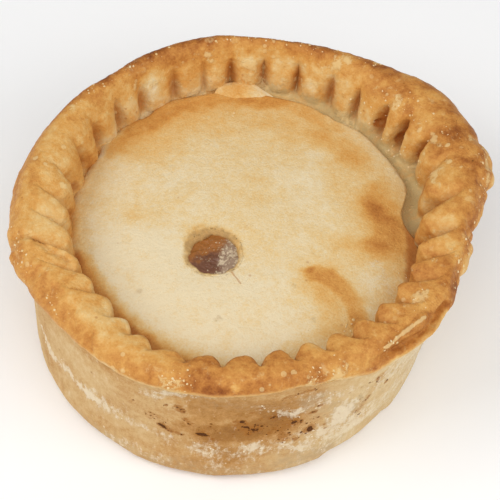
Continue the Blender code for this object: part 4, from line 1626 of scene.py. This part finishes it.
# ---- the lid ----
@dataclass(frozen=True)
class Lid:
    """The sunken lid, laid out round its steam hole.

    Args:
        plug_radius: radius of the hole.
        plug_ragged: how far the hole strays from round.
        plug_depth: depth of the rounding at its mouth.
        mouth: width of that rounding.
        dimple_reach: how far from the hole's middle the dip runs, in millimetres.
        first_reach: where the search for the edge starts, from the hole.
        rounds: steps of that search.
        halo_shift: from the middle of the solid's hole to the middle of the stain round it.
        halo_radius: radius of the stain.
        edge_shade: how brown the lid is beside the rim: painted shade from the rim, with some real
            browning.
        edge_wave: how far the edge strays from the solid lid's.
    """

    columns: int = 720
    relief: Relief = Relief(0.00028, 0.009, 0.00006, 0.0012, 14)
    top_rows: int = 104
    plug_radius: float = 0.0049
    plug_ragged: float = 0.0005
    plug_depth: float = 0.0007
    mouth: float = 0.0009
    dimple: float = 0.0009
    dimple_reach: float = 7.0
    first_reach: float = 0.036
    rounds: int = 40
    halo_shift: tuple[float, float] = (-0.0002, -0.0005)
    halo_radius: float = 5.5 * MM
    edge_shade: Ring = Ring((
        (0, .08), (25, .02), (90, 0), (145, .02), (158, .08), (180, .16), (200, .3), (225, .34),
        (245, .28), (270, .22), (300, .22), (330, .22), (350, .12)))
    edge_wave: Ring = Ring((
        (3, -.0032), (8, -.0042), (12, -.0041), (16, -.003), (20, -.0017), (24, -.0006), (28, -.0005),
        (33, -.0004), (38, -.0005), (44, -.0003), (52, 0), (65, -.0014), (77, -.0004), (86, -.0011),
        (93, -.0009), (100, -.0004), (107, .0001), (113, .0004), (120, .0014), (126, .0008),
        (131.5, .0001), (135, .001), (139, .0013), (144, .0014), (148, .0018), (152, .0008),
        (158, .0008), (170, .0013), (190, .0016), (225, .0016), (250, .0018), (270, .0016),
        (300, .0014), (332, .0017), (339, .0018), (345, .0013), (351, .0007), (355, -.0003),
        (358.7, -.0015)))
    # Places baked darker, or lighter below zero; the last five, along the edge beside the rim's lobes, are
    # painted shade.
    browning: Marks = (
        top(((147, 36), (142, 37), (132, 37), (120, 37.6), (107, 37.5), (95, 36.5), (86, 36)), 6, .26),
        top(((154, 37.6), (147, 38.2), (139, 38.6)), 2.2, -.22, .2),
        top(((140, 31), (117, 30), (98, 31), (75, 31)), 9, .13), top(((75, 34), (60, 33)), 3, .1),
        top(((59, 28.6), (51, 29), (42, 28.5)), 5.6, .2, .1),
        top(((40, 24), (10, 24), (345, 24)), 9, .08),
        top(((23, 26.5), (14, 28.5), (4, 31)), 4.4, .1, .4, .3), top(((12, 25), (358, 27)), 6.5, .1, .1),
        top(((356, 27), (349, 25)), 5, .1, .1), top(((356, 33), (345, 32)), 3, .05),
        top(((22, 29), (2, 30), (346, 31.5)), 6.5, .12, .3),
        top(((13, 25.5), (4, 27.5), (353, 28.5)), 5, .1, .3, .2),
        top(((311.5, 15.6), (316, 16.8)), 1.2, .13, .2),
        top(((317, 18), (321, 20.2), (321.5, 23), (320.5, 26), (318, 29), (315, 31.5)), 2.6, .22, .45, .2),
        top(((317, 20), (313, 24.5), (310, 29.5)), 7.5, .19, .25),
        top(((312, 22), (304, 27)), 7, .08, .0), top(((315, 31.5), (308, 32)), 3.6, .12, .1),
        top(((351, 25), (349, 20), (344, 15)), 4.2, .11, .1, .25),
        top(((352, 25.5), (350, 23.5)), 2.6, .1, .1), top(((19, 24.5), (9, 26.5)), 3, .1, .3),
        top(((5, 29.5), (358, 31.5)), 3, .08, .2), top(((325, 30), (334, 32)), 3, .12),
        top(((350, 35.5), (340, 36)), 3, .08, .1), top(((178.5, 23.5),), 4, .07),
        top(((300, 31), (285, 32)), 3, .12), top(((205, 26), (240, 24), (280, 22)), 11, -.06),
        # painted shade on the lid beside the rim's lobes
        top(((166, 37.4),), 2.2, .14, .1), top(((178, 37.4), (186, 37.4)), 2.4, .12, .1),
        top(((200, 36.2), (212, 35.6), (224, 35.8), (236, 36.4)), 4, .24, .15),
        top(((236, 36.4), (248, 36.8), (258, 36.8)), 3.4, .2, .15),
        top(((258, 36.8), (268, 36.4)), 2.6, .1),
    )
    # Painted shade under the rim's lobes, and painted shade in the wrinkles beside the steam hole.
    crevices: Marks = (
        top(((165, 37.6), (167, 37.4)), 1.6, .4, .2),
        top(((178, 37.4), (186, 37.4), (198, 36.8)), 1.8, .4, .2),
        top(((198, 36.8), (206, 36.4), (214, 36), (224, 36.2), (232, 36.6)), 2.4, .7, .2),
        top(((232, 36.6), (242, 37), (252, 37.4)), 2.2, .6, .2), top(((252, 37.4), (266, 36.8)), 2, .6),
        top(((6, 32.6), (357, 33), (348, 33.6), (340, 35)), 2.6, 1, .2, .2),
        top(((318, 35.6), (335, 36.2)), 2, .6, .2), top(((290, 35.6), (309, 35.4)), 1.8, .7, .2),
        top(((266, 36.8), (290, 36)), 1.4, .5), top(((255.3, 13.9), (259.8, 15), (264.4, 16.3)), .35, .7),
        top(((240, 4), (240, 1.5)), .3, .35), top(((171, 8.2), (160, 9)), .3, .3),
        top(((189, 8), (172, 11)), .3, .3),
    )
    # Places with loose flakes.
    crumbs: Marks = (
        top(((343, 32.5),), 2.4, .9), top(((331, 33),), 2, .8), top(((312, 30.5), (309, 32.5)), 1.8, .8),
        top(((291, 35.5), (276, 35.6)), 1.4, .8), top(((100, 31),), 5, .32), top(((60, 30),), 5, .3),
    )
    # Places with a whitish bloom.
    bloom: Marks = (
        top(((341, 26.6), (335, 30.5)), 3, .42), top(((346, 16.4),), 1.2, .4),
        top(((250, 22), (290, 24)), 8, .18), top(((200, 20),), 8, .12),
    )
    # Places with a faint grey tinge.
    damp: Marks = (
        top(((221.5, 28.7),), 1.4, .35), top(((257.3, 25.2),), 1.2, .45), top(((299.5, 26.7),), .9, .5),
        top(((298.7, 18.4),), 1, .3), top(((35, 35.4), (15, 35.2)), 1.6, .45),
    )

    def skin(self) -> Skin:
        """Shape the lid from the foot of the hole, over the top, round the edge and back below.

        Returns:
            The lid's grid, with its layers.
        """
        way, hole = headings(self.columns), PIE.hole
        reach = np.full(self.columns, self.first_reach)
        for _ in range(self.rounds):
            radius, degrees = PIE.polar(hole + way * reach[:, None])
            reach += 0.9 * (self.edge(degrees) - radius)

        ring = np.concatenate([way * 4.0 * MM, np.zeros((self.columns, 1))], -1)
        plug = self.plug_radius + self.plug_ragged * cloudy(ring, 1.6 * MM, 51)
        mouth = plug + self.mouth
        rows: list[np.ndarray] = []
        for below in np.linspace(PIE.lid_thickness, self.plug_depth, 6):
            rows.append(self.row(hole, way, plug, -below))
        for bend in np.radians(np.linspace(0.0, 90.0, 11)[1:]):
            widened = plug + self.mouth * (1.0 - math.cos(bend))
            rows.append(self.row(hole, way, widened, -self.plug_depth * (1.0 - math.sin(bend))))
        for share in np.linspace(0.0, 1.0, self.top_rows):
            rows.append(self.row(hole, way, mouth + share * (reach - 0.02 * MM - mouth), 0.0))
        for share in (0.35, 0.7, 1.0):
            rows.append(self.row(hole, way, reach - 0.3 * MM * share, -2.6 * MM * share))
        for share in (0.7, 0.35, 0.0):
            spread = share * (reach - 0.3 * MM) + (1.0 - share) * PIE.hole_radius
            rows.append(self.row(hole, way, spread, -PIE.lid_thickness))
        skin = Skin(np.array(rows), True)
        self.tint(skin)
        return skin

    def tint(self, skin: Skin) -> None:
        """Lay the lid's browning and its other layers, whose weights are given.

        Args:
            skin: the lid, whose layers are filled in.
        """
        points = skin.points
        radius, degrees = PIE.polar(points)
        by_edge = 1.0 - smooth(self.edge(degrees) - radius, 0.5 * MM, 6.2 * MM)
        middle = np.array(PIE.hole_centre) + np.array(self.halo_shift)
        round_hole = np.hypot(*(points[..., axis] - middle[axis] for axis in (0, 1))) - self.halo_radius
        bake = 0.095 + 0.0016 * (points[..., 1] - PIE.centre[1]) / MM + 0.05 * cloudy(points, 0.011, 21)
        halo = 1.0 - smooth(round_hole + 0.8 * MM * cloudy(points, 0.0018, 23), -0.6 * MM, 1.5 * MM)
        skin.tints = {
            # painted shade: the lid browned beside the rim where the rim shades it, and below, the painted
            # shade of the crevices
            Tint.BAKE: bake + self.edge_shade.at(degrees) * by_edge
            + layered(points, self.browning, 220) + 0.26 * halo,
            Tint.GROOVE: layered(points, self.crevices, 240),
            Tint.FLOUR: layered(points, self.bloom, 260),
            Tint.DAMP: layered(points, self.damp, 280) + 0.85 * halo,
            Tint.CRUMB: layered(points, self.crumbs, 290),
            Tint.RELIEF: np.ones(points.shape[:2]),
        }

    def edge(self, degrees: np.ndarray) -> np.ndarray:
        """Radius of the lid's wavy edge."""
        return PIE.lid_radius.at(degrees) + self.edge_wave.at(degrees)

    def height(self, radius: np.ndarray, degrees: np.ndarray) -> np.ndarray:
        """Height of the lid's top out to its wavy edge.

        Args:
            radius: distances from the pie's middle.
            degrees: angles round it.

        Returns:
            One height for each place.
        """
        inner = PIE.lid_radius.at(degrees) - PIE.lid_round
        share = np.maximum(0.0, radius - inner) / (self.edge(degrees) - inner)
        fall = 1.0 - np.sqrt(np.maximum(0.0, 1.0 - share ** 2))
        return PIE.lid_height(np.minimum(radius, inner), degrees) - PIE.lid_round * fall

    def row(self, hole: np.ndarray, way: np.ndarray, reach: np.ndarray, below: float) -> np.ndarray:
        """One ring of points round the hole.

        Args:
            hole: the hole's middle.
            way: unit vectors away from it.
            reach: distances along them.
            below: height above the lid's top, below zero for under it.

        Returns:
            columns by x, y, z.
        """
        flat = hole + way * reach[:, None]
        height = self.height(*PIE.polar(flat)) + below
        height = height - self.dimple * np.exp(-(reach / self.dimple_reach / MM) ** 2)
        return np.concatenate([flat, height[:, None]], -1)

    def build(self, finish: Material) -> Piece:
        """Make the lid."""
        return self.relief.raise_on(self.skin().mesh("lid"), "sunken_lid", finish)


@dataclass(frozen=True)
class Flap:
    """The half-moon of lid pastry that lies behind the lid's edge at the back.

    Args:
        centre: its middle, as a place on the pie.
        outline: its radius round that middle.
        fall: how much lower its edge is than its middle.
        tilt: how steeply it rises toward the back.
    """

    centre: Place = (96.5, 36.4, 30.9)
    outline: Ring = Ring((
        (20, .0048), (63, .0035), (91, .0033), (128, .0039), (156, .0052), (176, .0058), (190, .0062),
        (206, .0056), (234, .0034), (280, .0026), (323, .004), (345, .0072), (352, .0072)))
    columns: int = 160
    rows: int = 30
    thickness: float = 0.0011
    fall: float = 0.0007
    tilt: float = 0.22
    relief: Relief = Relief(0.00020, 0.004, 0.00006, 0.0012, 15)

    def skin(self) -> Skin:
        """Shape the half-moon from the middle of its top over its edge to the middle below.

        Returns:
            The half-moon's grid, with its layers.
        """
        way = headings(self.columns)
        reach = self.outline.at(360.0 * np.arange(self.columns) / self.columns)
        middle = PIE.spot(self.centre)
        edge = 0.4 * self.thickness
        profile = [(share, 0.0, -self.fall * share ** 2) for share in np.linspace(0.03, 1.0, self.rows)]
        profile += [
            (1.0, edge * math.sin(bend), -self.fall - edge * (1.0 - math.cos(bend)))
            for bend in np.radians((25.0, 50.0, 75.0, 90.0))]
        profile += [(1.0, edge, -self.fall - self.thickness), (0.5, 0.0, -self.fall - self.thickness)]
        points = np.array([
            np.concatenate([middle[:2] + way * (share * reach + out)[:, None],
                            np.full((self.columns, 1), middle[2] + up)], -1)
            for share, out, up in profile])
        points[..., 2] += self.tilt * (points[..., 1] - middle[1])
        skin = Skin(points, False)
        right = smooth(points[..., 0] - middle[0], -1.0 * MM, 4.0 * MM)
        rising = smooth(np.array([row[0] for row in profile])[:, None] * np.ones(self.columns), 0.6, 1.0)
        skin.tints = {
            Tint.BAKE: 0.36 - 0.22 * right - 0.10 * rising + 0.06 * cloudy(points, 0.003, 61),
            Tint.RELIEF: np.ones(points.shape[:2]),
        }
        return skin

    def build(self, finish: Material) -> Piece:
        """Make the half-moon."""
        return self.relief.raise_on(self.skin().turned("flap"), "lid_flap", finish)


# ---- the filling ----
@dataclass(frozen=True)
class Filling:
    """The plug of meat in the steam hole, a little wider than the hole so that no gap shows.

    Args:
        sunk: how far its top lies below the lid.
        dome: how much higher its middle is than its edge.
        lump: height of its lumps.
    """

    columns: int = 200
    rings: int = 56
    radius: float = 0.0056
    sunk: float = 0.0013
    dome: float = 0.0002
    lump: float = 0.0005
    relief: Relief = Relief(0.00025, 0.0018, 0.00014, 0.0006, 19)

    def skin(self) -> Skin:
        """Shape the plug from the middle of its top down its side to its foot.

        Returns:
            The plug's grid, with its layers.
        """
        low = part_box("filling")[0]
        centre, way = PIE.hole, headings(self.columns)
        level = PIE.lid_height(*PIE.polar(centre)) - self.sunk
        rows = [(share * self.radius, level + self.dome * (1.0 - share ** 2))
                for share in np.linspace(0.02, 1.0, self.rings)]
        rows += [
            (self.radius, level - 1.0 * MM), (0.95 * self.radius, low.z + 1.0 * MM),
            (0.5 * self.radius, low.z)]
        points = np.array([
            np.concatenate([centre + way * out, np.full((self.columns, 1), up)], -1) for out, up in rows])
        crown = smooth(points[..., 2], level - 0.9 * MM, level - 0.1 * MM)
        points[..., 2] += crown * self.lump * cloudy(points, 0.0024, 41)
        skin = Skin(points, False)
        side_way = (points[..., :2] - centre) / self.radius
        skin.tints = {
            Tint.BAKE: np.clip(0.45 + 0.6 * side_way[..., 1] - 0.25 * side_way[..., 0], 0.0, 1.0),
            Tint.DAMP: np.clip(0.30 + 0.7 * side_way[..., 0] - 0.1 * side_way[..., 1], 0.0, 1.0),
            Tint.RELIEF: crown,
        }
        return skin

    def build(self, finish: Material) -> Piece:
        """Make the filling."""
        return self.relief.raise_on(self.skin().turned("filling"), "meat_filling", finish)


# ---- the studio ----
@dataclass(frozen=True)
class Lamp:
    """A square soft light that faces the pie.

    Args:
        name: the light's name.
        place: where it hangs, in metres.
        size: width of the square.
        power: in watts.
    """

    name: str
    place: Place
    size: float
    power: float

    def hang(self) -> None:
        """Make the light."""
        light = bpy.data.lights.new(self.name, 'AREA')
        light.shape = 'SQUARE'
        light.size = self.size
        light.energy = self.power
        lamp = bpy.data.objects.new(self.name, light)
        lamp.location = self.place
        lamp.rotation_euler = (-Vector(self.place)).to_track_quat('-Z', 'Y').to_euler()
        show(lamp)


@dataclass(frozen=True)
class Studio:
    """A pale floor, soft lights and the camera.

    Args:
        look: the point that the camera faces.
        elevation: degrees that the camera stands above the horizontal.
        roll: degrees that it leans.
        distance: from the camera to that point.
        lens: its focal length, and sensor its width, in millimetres.
        half_floor: half the width of the floor.
        room_light: strength of the even light from all round.
        lamps: the soft lights.
    """

    look: Place = (-0.0004, -0.00059, 0.0238)
    elevation: float = 52.0
    roll: float = 4.0
    distance: float = 0.4
    lens: float = 138.8
    sensor: float = 36.0
    half_floor: float = 1.5
    floor_tone: Colour = (0.98, 0.98, 0.98)
    floor_roughness: float = 0.8
    room_light: float = 0.40
    lamps: tuple[Lamp, ...] = (
        Lamp("left", (-0.60, -0.25, 0.58), 0.50, 2.9),
        Lamp("right", (0.62, -0.32, 0.48), 0.50, 2.0),
        Lamp("front", (0.05, -0.50, 0.78), 0.60, 2.8),
    )

    def floor(self) -> None:
        """Lay a plain pale floor."""
        mesh = bpy.data.meshes.new("floor")
        half = self.half_floor
        corners = [(-half, -half, 0), (half, -half, 0), (half, half, 0), (-half, half, 0)]
        mesh.from_pydata(corners, [], [(0, 1, 2, 3)])
        made = bpy.data.materials.new("plain floor")
        made.use_nodes = True
        shader = made.node_tree.nodes["Principled BSDF"]
        shader.inputs["Base Color"].default_value = (*self.floor_tone, 1.0)
        shader.inputs["Roughness"].default_value = self.floor_roughness
        mesh.materials.append(made)
        floor = bpy.data.objects.new("floor", mesh)
        show(floor)

    def lights(self) -> None:
        """Light the pie softly from above and from both sides, in a pale room."""
        for lamp in self.lamps:
            lamp.hang()
        world = bpy.data.worlds.new("room")
        world.use_nodes = True
        light = world.node_tree.nodes["Background"].inputs
        light["Color"].default_value = (1.0, 1.0, 1.0, 1.0)
        light["Strength"].default_value = self.room_light
        bpy.context.scene.world = world

    def camera(self) -> None:
        """Set the camera above the front of the pie, looking down at it."""
        rise, tilt = math.radians(self.elevation), math.radians(self.roll)
        forward = Vector((0.0, math.cos(rise), -math.sin(rise)))
        up = Vector((0.0, math.sin(rise), math.cos(rise)))
        right = Vector((1.0, 0.0, 0.0))
        across = right * math.cos(tilt) + up * math.sin(tilt)
        upright = up * math.cos(tilt) - right * math.sin(tilt)
        data = bpy.data.cameras.new("camera")
        data.lens = self.lens
        data.sensor_width = self.sensor
        camera = bpy.data.objects.new("camera", data)
        turned = Matrix((across, upright, -forward)).transposed().to_4x4()
        turned.translation = Vector(self.look) - forward * self.distance
        camera.matrix_world = turned
        show(camera)
        bpy.context.scene.camera = camera

    def build(self) -> None:
        """Set up the whole studio."""
        self.camera()
        self.floor()
        self.lights()
        bpy.context.scene.view_settings.view_transform = 'Standard'


# ---- the pie ----
def settle(piece: Piece, slot: Slot, *nodes: str) -> None:
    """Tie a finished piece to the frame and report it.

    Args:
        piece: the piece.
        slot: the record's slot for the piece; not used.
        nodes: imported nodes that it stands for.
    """
    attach(piece, BODY)
    if nodes:
        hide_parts(*nodes)
    faces = sum(len(polygon.vertices) - 2 for polygon in piece.data.polygons)
    LOG.info("%s: %d triangles", piece.name, faces)


def main() -> None:
    """Build the pie's pieces in order, dress them and set up the studio."""
    logging.basicConfig(level=logging.INFO, format="%(name)s %(message)s")
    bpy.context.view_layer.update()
    Studio().build()
    wall_crust = CrustFinish(
        "floury wall", TAN_RAMP, (0.14, 0.18, 0.15), streaks=0.75, pores=0.4, pore_size=0.0030,
        pore_width=0.12, damp_tone=(0.50, 0.34, 0.18), roughness=0.62, shine=0.06).material()
    rim_crust = CrustFinish("browned rim", mottle=(0.20, 0.28, 0.14), blisters=0.50, wisps=0.36).material()
    lid_crust = CrustFinish(
        "pale lid", mottle=(0.12, 0.15, 0.17), wisps=0.14, pores=0.35, pore_size=0.0038,
        pore_width=0.09, damp_tone=(0.42, 0.26, 0.105)).material()
    wall = Wall().build(wall_crust)
    rim = Rim().build(rim_crust)
    lid = Lid().build(lid_crust)
    settle(wall, Slot.BROWNED, "pastry_case")
    settle(rim, Slot.BROWNED, "pastry_case")
    settle(lid, Slot.PALE, "lid")
    settle(Flap().build(lid_crust), Slot.PALE, "lid")
    settle(Filling().build(MeatFinish().material()), Slot.MEAT, "filling")

    flour = BitFinish("loose flour", (0.84, 0.73, 0.53), (0.72, 0.56, 0.34)).material()
    burnt = BitFinish(
        "burnt specks", (0.26, 0.095, 0.018), (0.10, 0.034, 0.006), roughness=0.7).material()
    flake = BitFinish("dry flakes", (0.82, 0.67, 0.41), (0.74, 0.50, 0.21)).material()
    for surface, name, finish, slot, bits in (
            (wall, "wall_flour_grains", flour, Slot.FLOUR,
             Sprinkle(Tint.FLOUR, 2.4e6, 0.00006, 0.00030, flat=0.45, ragged=0.5, seed=11)),
            (wall, "wall_burnt_specks", burnt, Slot.BURNT,
             Sprinkle(Tint.SCORCH, 1.4e6, 0.00006, 0.00030, flat=0.30, ragged=0.6, seed=12)),
            (rim, "rim_flakes", flake, Slot.PALE,
             Sprinkle(Tint.CRUMB, 1.6e6, 0.00007, 0.00034, flat=0.35, ragged=0.6, seed=13)),
            (lid, "lid_flakes", flake, Slot.PALE,
             Sprinkle(Tint.CRUMB, 3.0e6, 0.00006, 0.00036, flat=0.35, ragged=0.7, seed=14))):
        settle(bits.strew(surface.data, name, finish), slot)


if __name__ == "__main__":
    main()
